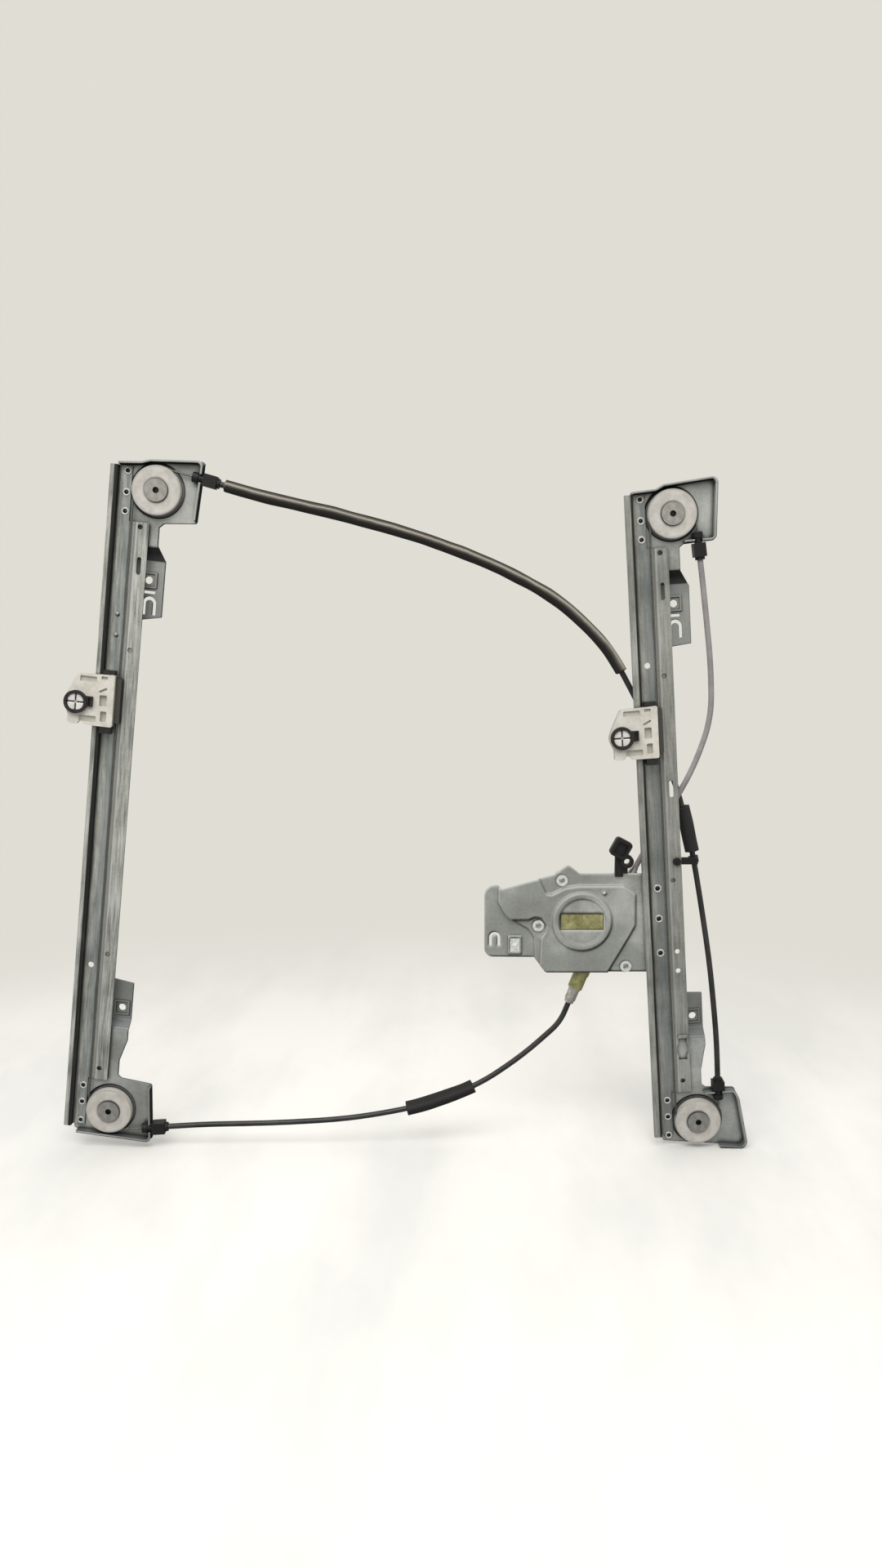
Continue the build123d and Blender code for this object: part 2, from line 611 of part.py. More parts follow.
# Pulleys
def pulley(rail, which):
    half = PULLEY_WIDTH / 2
    side = [(AXLE_R + 0.05, -half), (PULLEY_R - 0.4, -half), (PULLEY_R, -half + 0.4), (PULLEY_R, -half + 0.8),
            (PULLEY_GROOVE_R, -CABLE_R - 0.1), (PULLEY_GROOVE_R, CABLE_R + 0.1), (PULLEY_R, half - 0.8),
            (PULLEY_R, half - 0.4), (PULLEY_R - 0.4, half), (AXLE_R + 0.05, half)]
    body = Rotation(90, 0, 0) * revolve(Plane.XZ * area(side), Axis.Z)
    body -= rod(0, 0, AXLE_HEAD_R + 1.5, -half - 1, -half + 0.4) - rod(0, 0, AXLE_HEAD_R + 0.6, -half - 2, half)
    x, z = rail.pulley(which)
    return Pos(x, CABLE_Y, z) * body


def pulley_axle(rail, which):
    x, z = rail.pulley(which)
    front = CABLE_Y - PULLEY_WIDTH / 2 - RUN
    body = rod(x, z, AXLE_HEAD_R, front - 1.2, front)
    body += rod(x, z, AXLE_R, front - 0.1, PLATE_REAR + 2.4)
    body += rod(x, z, AXLE_R + 1.6, PLATE_REAR + 1.6, PLATE_REAR + 2.6)
    return body - rod(x, z, AXLE_HOLE_R, -40, front + 2.2)


# Conduits, their ends and what they carry
def end_fitting(exit_point, angle, reach, mouth=9.5):
    """The moulded end that drops into a bracket's notch and holds a conduit."""
    seat, width = reach + CONDUIT_INSET, 10.5
    end = seat + mouth
    body = turned([(reach - 6, reach - 1.3, 4.4, 0), (reach - 1.3, reach + 3.4, 3.2, 0), (end, end + 2.5, 4.2, 0)],
                  exit_point, angle)
    block = Pos(0, 0, (reach + 3.3 + end) / 2) * Box(width, width, end - reach - 3.3)
    body += Location(Plane(exit_point, x_dir=(0, 1, 0), z_dir=heading(angle))) * block
    return body - turned([(reach - 7, seat, CABLE_R + 0.6, 0), (seat, end + 3, CONDUIT_R, 0)], exit_point, angle)


def run_with_pulley(rail, which, exit_point, angle_at_exit):
    """The cable's free run on a rail, from the carrier, with its arc round the pulley."""
    x, z = rail.pulley(which)
    start_angle = 180 - rail.tilt
    centre = Vector(x, CABLE_Y, z)
    begin = centre + heading(start_angle) * WRAP_R
    middle = centre + heading((start_angle + angle_at_exit) / 2) * WRAP_R
    carrier = rail.world(PULLEY_U - WRAP_R, rail.rest, CABLE_Y)
    return [Line(tuple(carrier), tuple(begin)), ThreePointArc(tuple(begin), tuple(middle), tuple(exit_point))]


def cable_upper():
    run = run_with_pulley(RIGHT, "top", TR_EXIT, TR_ANGLE + 90)
    conduit = upper_route()
    into, out = Line(TR_EXIT, conduit @ 0), Line(conduit @ 1, upper_lead(LEAD_START))
    return tube(Wire([*run, into, *conduit.edges(), out]), CABLE_R)


def cable_lower():
    run = run_with_pulley(LEFT, "bottom", BL_EXIT, BL_ANGLE + 270)
    conduit = lower_route()
    into, out = Line(BL_EXIT, conduit @ 0), Line(conduit @ 1, lower_lead(LEAD_START))
    return tube(Wire([*run, into, *conduit.edges(), out]), CABLE_R)


def cable_crossing():
    left = run_with_pulley(LEFT, "top", TL_EXIT, TL_ANGLE + 90)
    right = run_with_pulley(RIGHT, "bottom", BR_EXIT, BR_ANGLE + 270)
    conduit = crossing_route()
    into, out = Line(TL_EXIT, conduit @ 0), Line(conduit @ 1, BR_EXIT)
    return tube(Wire([*left, into, *conduit.edges(), out, *right]), CABLE_R)


def stretch(path, begin, end, outer, bore):
    """A sleeve on part of a conduit, between two fractions of its length."""
    return tube(path.trim(begin, end), outer, bore)


def foam_sleeve():
    return stretch(crossing_route(), 0.02, 0.505, FOAM_R, CONDUIT_R + 0.05)


def sleeve_right():
    return stretch(crossing_route(), 0.672, 0.725, SLEEVE_R, CONDUIT_R + 0.05)


def sleeve_lower():
    return stretch(lower_route(), 0.553, 0.708, SLEEVE_R, CONDUIT_R + 0.05)


# Clips and the captive nut
def conduit_clip():
    spot = RIGHT.world(on_face(CLIP_SHARE), CLIP_W)
    path = crossing_route()
    middle, way = path @ CLIP_AT, path % CLIP_AT
    body = rod(spot.X, spot.Z, FACE_HOLE_R, FACE_FRONT - 1.2, -15.2)
    body += rod(spot.X, spot.Z, 3.4, FACE_FRONT - 2.4, FACE_FRONT)
    body += box(spot.X - 3, middle.X + 2, FACE_FRONT + SHEET + 0.1, -14.2, spot.Z - 3, spot.Z + 3)
    body += box(middle.X - 3, middle.X + 2, -15, middle.Y, spot.Z - 3, spot.Z + 3)
    seat = Location(Plane(middle, z_dir=way))
    return body + seat * Cylinder(4.4, 6) - seat * Cylinder(CONDUIT_R + 0.15, 20)


def wiring_clip():
    """A clip hooked over the plate's top edge, with a slanted box and an open ring."""
    plate_top = 43.8
    body = slab(Pos(33.3, 67.3) * RectangleRounded(16, 17, 3, rotation=-28), -22.4, 7)
    body -= slab(Pos(33.3, 67.3) * RectangleRounded(10, 11, 2, rotation=-28), -23, 3.4)
    body += ring(39, 55.4, 6, 2.7, -21, -15.4)
    body += box(29, 40, -18.6, -12.2, plate_top + 0.4, 60) - rod(39, 55.4, 5, -40, 0)
    body += box(29, 36, -18.6, PLATE_FRONT, plate_top - 2.6, plate_top + 0.8)
    body += box(29, 36, PLATE_REAR, -12.2, plate_top - 4.8, plate_top + 0.8)
    return body


def captive_nut():
    frame = Rectangle(12.6, 17.6) - Rectangle(8.8, 12.8)
    return slab(Pos(NUT_X, NUT_Z) * frame, TAB_FRONT - 1.4, 1.4)


def plate_nut():
    body = slab(Pos(NUT_X, NUT_Z) * Rectangle(8.6, 12.6), TAB_FRONT - 1.8, 1.8)
    body += rod(NUT_X, NUT_Z, 4.2, TAB_FRONT, TAB_FRONT + PLATE + 1.5)
    return body - rod(NUT_X, NUT_Z, 2.6, -40, 1)


# Carriers, in their own frame: u as on the rail, w from the carrier's middle
def carrier_body():
    high = CARRIER_HEIGHT / 2
    rear = RAIL_FRONT - RUN
    outline = [(19, high), (-13.4, high - 2), (-22.2, 3), (-22.6, GLASS_W - 5), (-20, GLASS_W - 11), (-20, -high),
               (-12, -high), (-9, 4 - high), (-5, -high), (19, -high)]
    body = slab(area(outline, 1.6), CARRIER_FRONT, rear - CARRIER_FRONT)
    body += rod(GLASS_U, GLASS_W, 10.8, CARRIER_FRONT, rear)
    wall = FLANGE_WIDTH + RUN
    floor = PLATE_FRONT - SHEET - RUN
    shoe = high - 3.5
    body += box(wall, STEP_AT - 3.6, rear - 1, floor, -shoe, shoe)
    body -= box(PIN_U - 4.4, PIN_U + 4.4, floor - 2, floor + 1, -shoe - 1, shoe + 1)
    body += box(STEP_AT - 4, STEP_AT + 0.4, rear - 1, CABLE_Y + 2.2, -shoe, shoe)
    lip_rear = RAIL_FRONT + LIP_DEPTH + RUN
    body += box(-3.4, -RUN, rear - 1, -17, -shoe, shoe) + box(-3.4, 5.2, lip_rear, -17, -shoe, shoe)
    body += box(SHEET + RUN, 5.2, RAIL_FRONT + SHEET + RUN, -17, -shoe, shoe)
    return body


# Recesses in a carrier's front: middle u and w, width, height and depth
POCKETS = [(10, -0.5, 6.3, 0.21 * CARRIER_HEIGHT, 3.4), (11, -0.31 * CARRIER_HEIGHT, 5.2, 0.2 * CARRIER_HEIGHT, 3.4),
           (10.2, 0.425 * CARRIER_HEIGHT, 5.7, 2.7, 2), (-3.6, 0.38 * CARRIER_HEIGHT, 14.5, 4.8, 2),
           (-2.6, -0.374 * CARRIER_HEIGHT, 14.5, 5.2, 2)]


def carrier(rail):
    body = carrier_body()
    cable_u = PULLEY_U - WRAP_R
    body -= Pos(cable_u, CABLE_Y, 0) * Cylinder(CABLE_R + 0.4, CARRIER_HEIGHT + 10)
    for u, w, width, height, depth in POCKETS:
        body -= slab(Pos(u, w) * RectangleRounded(width, height, 0.9), CARRIER_FRONT - 1, depth + 1)
    body -= slab(Pos(9.6, 0.19 * CARRIER_HEIGHT) * SlotOverall(7.6, 1.8, rotation=28), CARRIER_FRONT - 1, 3.4)
    for w in NIPPLE_PLACES:
        body -= Pos(cable_u, CABLE_Y, w) * Cylinder(2.1, 7)
    body -= rod(GLASS_U, GLASS_W, 7.4, CARRIER_FRONT - 1, RAIL_FRONT + 1)
    return rail.place * Pos(0, 0, rail.rest) * body


def on_carrier(rail, shape):
    return rail.place * Pos(0, 0, rail.rest) * shape


def glass_ring(rail):
    """The rubber ring that the glass rests on, with its key."""
    body = rod(GLASS_U, GLASS_W, 10, CARRIER_FRONT - 4, CARRIER_FRONT)
    body += box(GLASS_U + 8, GLASS_U + 14.6, CARRIER_FRONT - 3, CARRIER_FRONT, GLASS_W - 3.2, GLASS_W + 5.8)
    body -= box(GLASS_U + 11, GLASS_U + 13.4, CARRIER_FRONT - 4, CARRIER_FRONT - 1, GLASS_W - 2, GLASS_W + 4.6)
    return on_carrier(rail, body - rod(GLASS_U, GLASS_W, 7.5, -60, 0))


def glass_clip(rail):
    """The expanding socket for the glass pin: four petals round a bore."""
    body = rod(GLASS_U, GLASS_W, 7.3, CARRIER_FRONT - 2.6, RAIL_FRONT - RUN)
    body -= rod(GLASS_U, GLASS_W, GLASS_BORE, -60, 0)
    for turn in (0, 90):
        slot = slab(Rectangle(1.2, 14, rotation=turn), CARRIER_FRONT - 3, 5)
        body -= Pos(GLASS_U, 0, GLASS_W) * slot
    return on_carrier(rail, body)


def bumper(rail):
    top = CARRIER_HEIGHT / 2
    return on_carrier(rail, box(8, 18.4, CARRIER_FRONT + 0.6, -20.2, top, top + 3.4))


def lower_stop(rail):
    low = -CARRIER_HEIGHT / 2
    return on_carrier(rail, box(8, 18, CARRIER_FRONT + 1, -20.2, low - 6, low))


def cable_nipples(rail):
    cable_u = PULLEY_U - WRAP_R
    ends = [Pos(cable_u, CABLE_Y, w) * (Cylinder(1.95, 6.4) - Cylinder(CABLE_R + 0.05, 8))
            for w in NIPPLE_PLACES]
    return Compound([on_carrier(rail, end) for end in ends])


NODES = {
    "rail_left": rail_left(),
    "rail_right": rail_right(),
    "bracket_top_left": bracket_top_left(),
    "bracket_top_right": bracket_top_right(),
    "bracket_bottom_left": bracket_bottom_left(),
    "bracket_bottom_right": bracket_bottom_right(),
    "clinch_pins_left": clinch_pins(LEFT),
    "clinch_pins_right": clinch_pins(RIGHT),
    "drum_plate": drum_plate(),
    "plate_rivets": plate_rivets(),
    "drum_housing": drum_housing(),
    "housing_cover": housing_cover(),
    "drum": drum(),
    "drum_windings": drum_windings(),
    "motor_bushes": motor_bushes(),
    "ferrule_lower": ferrule_lower(),
    "ferrule_upper": ferrule_upper(),
    "spring_lower": spring_lower(),
    "spring_upper": spring_upper(),
    "conduit_crossing": tube(crossing_route(), CONDUIT_R, CONDUIT_BORE),
    "conduit_upper": tube(upper_route(), CONDUIT_R, CONDUIT_BORE),
    "conduit_lower": tube(lower_route(), CONDUIT_R, CONDUIT_BORE),
    "foam_sleeve": foam_sleeve(),
    "sleeve_right": sleeve_right(),
    "sleeve_lower": sleeve_lower(),
    "end_fitting_top_left": end_fitting(TL_EXIT, TL_ANGLE, TL_REACH),
    "end_fitting_top_right": end_fitting(TR_EXIT, TR_ANGLE, TR_REACH),
    "end_fitting_bottom_left": end_fitting(BL_EXIT, BL_ANGLE, BL_REACH),
    "end_fitting_bottom_right": end_fitting(BR_EXIT, BR_ANGLE, BR_REACH, 6.0),
    "cable_upper": cable_upper(),
    "cable_lower": cable_lower(),
    "cable_crossing": cable_crossing(),
    "conduit_clip": conduit_clip(),
    "wiring_clip": wiring_clip(),
    "nut_cage": captive_nut(),
    "plate_nut": plate_nut(),
}

for side, rail in (("left", LEFT), ("right", RIGHT)):
    for which in ("top", "bottom"):
        NODES[f"pulley_{which}_{side}"] = pulley(rail, which)
        NODES[f"pulley_axle_{which}_{side}"] = pulley_axle(rail, which)
    NODES[f"carrier_{side}"] = carrier(rail)
    NODES[f"glass_ring_{side}"] = glass_ring(rail)
    NODES[f"glass_clip_{side}"] = glass_clip(rail)
    NODES[f"bumper_{side}"] = bumper(rail)
    NODES[f"lower_stop_{side}"] = lower_stop(rail)
    NODES[f"cable_nipples_{side}"] = cable_nipples(rail)

os.makedirs("parts", exist_ok=True)
for name, shape in NODES.items():
    export_step(shape, f"parts/{name}.step")
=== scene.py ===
import bpy
from math import cos, pi, radians, sin
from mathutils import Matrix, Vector, noise


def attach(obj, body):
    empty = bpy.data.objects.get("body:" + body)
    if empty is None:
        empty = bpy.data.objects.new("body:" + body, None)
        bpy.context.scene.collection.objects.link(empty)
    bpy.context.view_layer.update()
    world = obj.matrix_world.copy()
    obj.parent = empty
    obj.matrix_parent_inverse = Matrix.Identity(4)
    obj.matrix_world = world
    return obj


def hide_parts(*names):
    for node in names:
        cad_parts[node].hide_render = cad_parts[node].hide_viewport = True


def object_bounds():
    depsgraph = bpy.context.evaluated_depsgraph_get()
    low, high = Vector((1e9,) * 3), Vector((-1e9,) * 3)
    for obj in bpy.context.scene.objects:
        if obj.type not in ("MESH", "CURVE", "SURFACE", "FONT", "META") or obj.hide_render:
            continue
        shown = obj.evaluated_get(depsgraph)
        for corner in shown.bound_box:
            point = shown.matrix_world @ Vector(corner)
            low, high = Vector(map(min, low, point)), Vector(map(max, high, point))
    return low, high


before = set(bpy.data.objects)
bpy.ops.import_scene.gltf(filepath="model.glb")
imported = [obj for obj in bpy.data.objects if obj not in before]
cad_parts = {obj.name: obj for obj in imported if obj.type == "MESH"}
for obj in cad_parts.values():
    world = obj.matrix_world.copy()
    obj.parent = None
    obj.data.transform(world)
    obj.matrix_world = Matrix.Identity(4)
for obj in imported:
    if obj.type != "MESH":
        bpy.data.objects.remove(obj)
cad_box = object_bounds()


# Viewpoint. The eye stands about a metre off the glass side, near the middle of the door and a little
# above the drum, and looks level across and 8.5 degrees down.
EYE = (-0.1272, -1.0559, 0.2804)
LOOK_DOWN = 8.5
LENS = 1450 / 1920 * 36

camera = bpy.data.objects.new("camera", bpy.data.cameras.new("camera"))
camera.location = EYE
camera.rotation_euler = (radians(90 - LOOK_DOWN), 0, 0)
camera.data.lens = LENS
camera.data.sensor_width = 36
camera.data.clip_start = 0.01
bpy.context.scene.collection.objects.link(camera)
bpy.context.scene.camera = camera
bpy.context.scene.view_settings.view_transform = "Standard"


# Floor and daylight. The regulator stands on its lower ends on a pale painted floor that runs out into
# a white room, under one broad ceiling light in front of it and soft light that falls mostly from above.
FLOOR_PAINT = (0.93, 0.91, 0.85, 1)
FLOOR_WORN = (0.80, 0.79, 0.75, 1)
FLOOR_BOUNCE = (0.30, 0.30, 0.29, 1)
ROOM_WHITE = (0.74, 0.725, 0.66, 1)
ROOM_ABOVE, ROOM_BELOW = 0.82, 0.18
CEILING_POWER = 38
FLOOR_REACH = 6.0
FADE_MIDDLE, FADE_NEAR, FADE_FAR = (-0.16, -0.40, 0), 0.60, 1.20


def node(tree, kind, inputs=None, **settings):
    """Adds a shader node; each input gets a plain value or another node's output."""
    made = tree.nodes.new(kind)
    for key, value in settings.items():
        setattr(made, key, value)
    for key, value in (inputs or {}).items():
        if isinstance(value, bpy.types.NodeSocket):
            tree.links.new(value, made.inputs[key])
        else:
            made.inputs[key].default_value = value
    return made


def finish_of(name, roughness, metallic=0.0):
    """An empty finish: its node tree and its shader."""
    material = bpy.data.materials.new(name)
    material.use_nodes = True
    shader = material.node_tree.nodes["Principled BSDF"]
    shader.inputs["Roughness"].default_value = roughness
    shader.inputs["Metallic"].default_value = metallic
    return material, material.node_tree, shader


def ramp(tree, factor, *stops):
    """Colours at their places along a factor."""
    made = node(tree, "ShaderNodeValToRGB", {"Fac": factor})
    band = made.color_ramp
    while len(band.elements) < len(stops):
        band.elements.new(1.0)
    for element, (place, colour) in zip(band.elements, stops):
        element.position = place
        element.color = colour if len(colour) == 4 else (*colour, 1)
    return made.outputs["Color"]


def grey(value):
    return (value, value, value, 1)


def spots(tree, place, scale, detail=3.0, roughness=0.55, stretch=(1, 1, 1)):
    """Soft noise on the piece's own coordinates, drawn out along any axis."""
    drawn = node(tree, "ShaderNodeMapping", {"Vector": place, "Scale": stretch})
    made = node(tree, "ShaderNodeTexNoise", {"Vector": drawn.outputs[0], "Scale": scale, "Detail": detail,
                                             "Roughness": roughness})
    return made.outputs["Fac"]


def blend_colour(tree, factor, first, second, way="MIX"):
    made = node(tree, "ShaderNodeMix", {0: factor, 6: first, 7: second}, data_type="RGBA", blend_type=way)
    return made.outputs[2]


def sum_of(tree, first, second, way="ADD"):
    return node(tree, "ShaderNodeMath", {0: first, 1: second}, operation=way).outputs[0]


def relief(tree, shader, height, depth, strength=0.5):
    """Lets a height pattern turn the surface's light."""
    made = node(tree, "ShaderNodeBump", {"Height": height, "Distance": depth, "Strength": strength})
    tree.links.new(made.outputs[0], shader.inputs["Normal"])


def own_place(tree):
    return node(tree, "ShaderNodeTexCoord").outputs["Object"]


low = cad_box[0]
sheet = bpy.data.meshes.new("floor")
sheet.from_pydata([(-FLOOR_REACH, -FLOOR_REACH, low.z), (FLOOR_REACH, -FLOOR_REACH, low.z),
                   (FLOOR_REACH, FLOOR_REACH, low.z), (-FLOOR_REACH, FLOOR_REACH, low.z)], [], [(0, 1, 2, 3)])
floor = bpy.data.objects.new("floor", sheet)
bpy.context.scene.collection.objects.link(floor)
paint, tree, shader = finish_of("floor_paint", 0.6)
rays = node(tree, "ShaderNodeLightPath")
brushed = spots(tree, own_place(tree), 7, 5, 0.55, (1, 0.35, 1))
painted = ramp(tree, brushed, (0.38, FLOOR_WORN), (0.62, FLOOR_PAINT))
tree.links.new(blend_colour(tree, rays.outputs["Is Camera Ray"], FLOOR_BOUNCE, painted), shader.inputs["Base Color"])
relief(tree, shader, spots(tree, own_place(tree), 60, 4), 0.0004, 0.2)
level = node(tree, "ShaderNodeVectorMath", {0: own_place(tree), 1: (1, 1, 0)}, operation="MULTIPLY").outputs[0]
out = node(tree, "ShaderNodeVectorMath", {0: level, 1: FADE_MIDDLE}, operation="DISTANCE").outputs["Value"]
away = node(tree, "ShaderNodeMapRange", {"Value": out, 1: FADE_NEAR, 2: FADE_FAR}, interpolation_type="SMOOTHSTEP").outputs[0]
haze = node(tree, "ShaderNodeEmission", {"Color": ROOM_WHITE, "Strength": 1.0})
fading = sum_of(tree, away, rays.outputs["Is Camera Ray"], "MULTIPLY")
far_floor = node(tree, "ShaderNodeMixShader", {0: fading, 1: shader.outputs[0], 2: haze.outputs[0]})
tree.links.new(far_floor.outputs[0], tree.nodes["Material Output"].inputs["Surface"])
sheet.materials.append(paint)

ceiling = bpy.data.objects.new("ceiling_light", bpy.data.lights.new("ceiling_light", "AREA"))
ceiling.data.shape = "RECTANGLE"
ceiling.data.size, ceiling.data.size_y = 2.2, 1.4
ceiling.data.energy = CEILING_POWER
ceiling.location = (-0.5, -1.5, 1.9)
ceiling.rotation_euler = (Vector((-0.1, 0.0, 0.1)) - ceiling.location).to_track_quat("-Z", "Y").to_euler()
bpy.context.scene.collection.objects.link(ceiling)

room = bpy.data.worlds.new("room")
room.use_nodes = True
tree = room.node_tree
rays = node(tree, "ShaderNodeLightPath")
seen = sum_of(tree, sum_of(tree, rays.outputs["Is Camera Ray"], rays.outputs["Is Glossy Ray"], "MAXIMUM"),
              rays.outputs["Is Transmission Ray"], "MAXIMUM")
white = node(tree, "ShaderNodeBackground", {"Color": ROOM_WHITE, "Strength": 1.0})
height = node(tree, "ShaderNodeSeparateXYZ", {0: node(tree, "ShaderNodeTexCoord").outputs["Generated"]}).outputs["Z"]
glow = node(tree, "ShaderNodeMapRange", {"Value": height, 1: -0.5, 2: 0.6, 3: ROOM_BELOW, 4: ROOM_ABOVE})
lit = node(tree, "ShaderNodeBackground", {"Color": grey(1.0), "Strength": glow.outputs[0]})
mixed = node(tree, "ShaderNodeMixShader", {0: seen, 1: lit.outputs[0], 2: white.outputs[0]})
tree.links.new(mixed.outputs[0], tree.nodes["World Output"].inputs["Surface"])
bpy.context.scene.world = room


# Rails. Two strips of 1.2 mm steel, rolled to a channel with a flange, a step for the cable and a flat
# face, zinc plated and passivated to a dull grey green, with old grease and painted groove shade in the
# channel, a painted highlight on the step and a painted bluish reflection on the channel floor.
ZINC = (0.460, 0.465, 0.425)
ZINC_PALE = (0.64, 0.64, 0.595)
ZINC_DULL = (0.295, 0.303, 0.277)
ZINC_BLUE_HIGHLIGHT = (0.26, 0.305, 0.315)
GREASE_AND_SHADE = (0.022, 0.022, 0.020)
RAIL_TOPS = {"rail_left": ((-0.3695, 0, 0.3787), 6.5), "rail_right": ((0.0704, 0, 0.3592), -4.1)}
PULLEY_SHIFT = 0.0405
RAIL_WIDTH = 0.036
# Where grease and painted groove shade line the wall and the step, how thick they are at the step, and the tone,
# streaks and painted step highlight
RAIL_WEAR_AND_PAINTED_LIGHT = {"rail_left": (0.0049, 0.0196, 0.60, 0.90, 0.60, 0.65), "rail_right": (0.0060, 0.0196, 0.10, 0.72, 0.35, 0.40)}


def zinc_look(tree, shader, place, tone=ZINC):
    """Plated sheet: cloudy dull and pale zinc, fine scratches and a soft uneven gloss."""
    cloudy = spots(tree, place, 24, 4, 0.5)
    fine = spots(tree, place, 420, 4, 0.6)
    clouds = ramp(tree, cloudy, (0.32, ZINC_DULL), (0.5, tone), (0.70, ZINC_PALE))
    speckled = blend_colour(tree, 0.16, clouds, ramp(tree, fine, (0.30, grey(0.30)), (0.62, grey(0.78))), "OVERLAY")
    gloss = node(tree, "ShaderNodeMapRange", {"Value": cloudy, 1: 0.3, 2: 0.7, 3: 0.52, 4: 0.34})
    tree.links.new(gloss.outputs[0], shader.inputs["Roughness"])
    relief(tree, shader, fine, 0.00012, 0.35)
    return speckled


def painted_edge_light(tree, shader, colour, metallic, dark, pale, reach=0.0016, start=0.22, full=0.62):
    """Painted light on rounded edges: those that face down or right get painted shade, with their metallic and specular
    taken away, and those that face up get a painted highlight.
    """
    rounded = node(tree, "ShaderNodeBevel", {"Radius": reach}, samples=8).outputs["Normal"]
    down = node(tree, "ShaderNodeVectorMath", {0: rounded, 1: (0.6, 0, -0.8)}, operation="DOT_PRODUCT").outputs["Value"]
    shade = node(tree, "ShaderNodeMapRange", {"Value": down, 1: start, 2: full, 3: 0.0, 4: 0.95}).outputs[0]
    up = node(tree, "ShaderNodeVectorMath", {0: rounded, 1: (-0.4, 0, 0.92)}, operation="DOT_PRODUCT").outputs["Value"]
    painted_highlight = node(tree, "ShaderNodeMapRange", {"Value": up, 1: start, 2: full + 0.13, 3: 0.0, 4: 0.85}).outputs[0]
    for socket, full in (("Metallic", metallic), ("Specular IOR Level", 0.5)):
        kept = node(tree, "ShaderNodeMapRange", {"Value": shade, 1: 0.0, 2: 0.9, 3: full, 4: 0.0}).outputs[0]
        tree.links.new(kept, shader.inputs[socket])
    return blend_colour(tree, painted_highlight, blend_colour(tree, shade, colour, dark), pale)


def grime_and_corner_shade(tree, colour, reach=0.004, most=0.85):
    """Darkens where surfaces meet and leaves open faces clean: partly oil and dust, partly painted shade in corners."""
    clear = node(tree, "ShaderNodeAmbientOcclusion", {"Distance": reach}, samples=8).outputs["AO"]
    grime_and_shade_share = node(tree, "ShaderNodeMapRange", {"Value": clear, 1: 0.45, 2: 0.92, 3: most, 4: 0.0}).outputs[0]
    return blend_colour(tree, grime_and_shade_share, colour, (0.018, 0.018, 0.016, 1))


def by_depth(tree, place, front, rear, least=0.0, most=1.0):
    """Rises from the front plane towards the door."""
    return node(tree, "ShaderNodeMapRange", {"Value": node(tree, "ShaderNodeSeparateXYZ", {0: place}).outputs["Y"],
                                             1: front, 2: rear, 3: least, 4: most}).outputs[0]


def dress(material, *names):
    for name in names:
        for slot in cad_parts[name].material_slots:
            slot.material = material


for name, (top, tilt) in RAIL_TOPS.items():
    material, tree, shader = finish_of(name + "_zinc", 0.42, 0.55)
    place = own_place(tree)
    along = node(tree, "ShaderNodeMapping", {"Vector": place, "Location": top, "Rotation": (0, radians(tilt), 0)},
                 vector_type="TEXTURE").outputs[0]
    axes = node(tree, "ShaderNodeSeparateXYZ", {0: along})
    across = node(tree, "ShaderNodeMapRange", {"Value": axes.outputs["X"], 1: -PULLEY_SHIFT,
                                               2: RAIL_WIDTH - PULLEY_SHIFT}).outputs[0]
    zinc = zinc_look(tree, shader, place)
    streaks = spots(tree, along, 70, 5, 0.6, (9, 2, 0.5))
    wall, step, thick, tone, streaky, step_highlight = RAIL_WEAR_AND_PAINTED_LIGHT[name]
    wiped = blend_colour(tree, streaky, zinc, ramp(tree, streaks, (0.34, grey(0.16)), (0.64, grey(0.84))), "OVERLAY")
    smear = spots(tree, along, 26, 4, 0.6, (2.2, 1, 0.45))
    # Grease and painted shade: dark bands along the channel wall and the step stand for old grease and for the groove's
    # shade.
    lines = [(wall - 0.0012, 0), (wall - 0.0006, 1), (wall + 0.0013, 1), (wall + 0.0021, 0.35), (wall + 0.0034, 0.05),
             (step - 0.0014, 0.05), (step - 0.0006, thick), (step + 0.0006, thick), (step + 0.0016, 0)]
    groove = ramp(tree, across, *((u / RAIL_WIDTH, grey(share)) for u, share in lines))
    greasy_and_shaded = sum_of(tree, groove, sum_of(tree, smear, 0.62, "ADD"), "MULTIPLY")
    groove_grease_and_shade = node(tree, "ShaderNodeClamp", {0: greasy_and_shaded}).outputs[0]
    # Painted reflection: a bluish band across the channel floor.
    blue_highlight_band = ramp(tree, across, (0.30, grey(0)), (0.42, grey(0.5)), (0.52, grey(0.45)), (0.60, grey(0)))
    blue_highlit = blend_colour(tree, blue_highlight_band, wiped, (*ZINC_BLUE_HIGHLIGHT, 1))
    # Painted highlight: a pale band along the step's slope.
    painted_highlight = ramp(tree, across, (0.585, grey(0)), (0.615, grey(step_highlight)), (0.685, grey(step_highlight)),
                  (0.73, grey(0)))
    toned = blend_colour(tree, 1.0, blue_highlit, grey(tone), "MULTIPLY")
    toned = blend_colour(tree, painted_highlight, toned, (0.80, 0.80, 0.76, 1))
    greased_and_shaded = blend_colour(tree, groove_grease_and_shade, toned, (*GREASE_AND_SHADE, 1))
    # Painted shade on down-facing edges and painted highlight on up-facing edges; darkening where surfaces meet, partly
    # grime and partly painted shade.
    tree.links.new(grime_and_corner_shade(tree, painted_edge_light(tree, shader, greased_and_shaded, 0.5, (*GREASE_AND_SHADE, 1), (0.58, 0.58, 0.54, 1), 0.0008),
                          0.003, 0.7), shader.inputs["Base Color"])
    dress(material, name)


# Pulley brackets. Four pressings of 2 mm zinc plated steel with a dished seat for the pulley, turned
# edges and a pad that joggles back to the door; clinched to the rails.
material, tree, shader = finish_of("bracket_zinc", 0.45, 0.55)
place = own_place(tree)
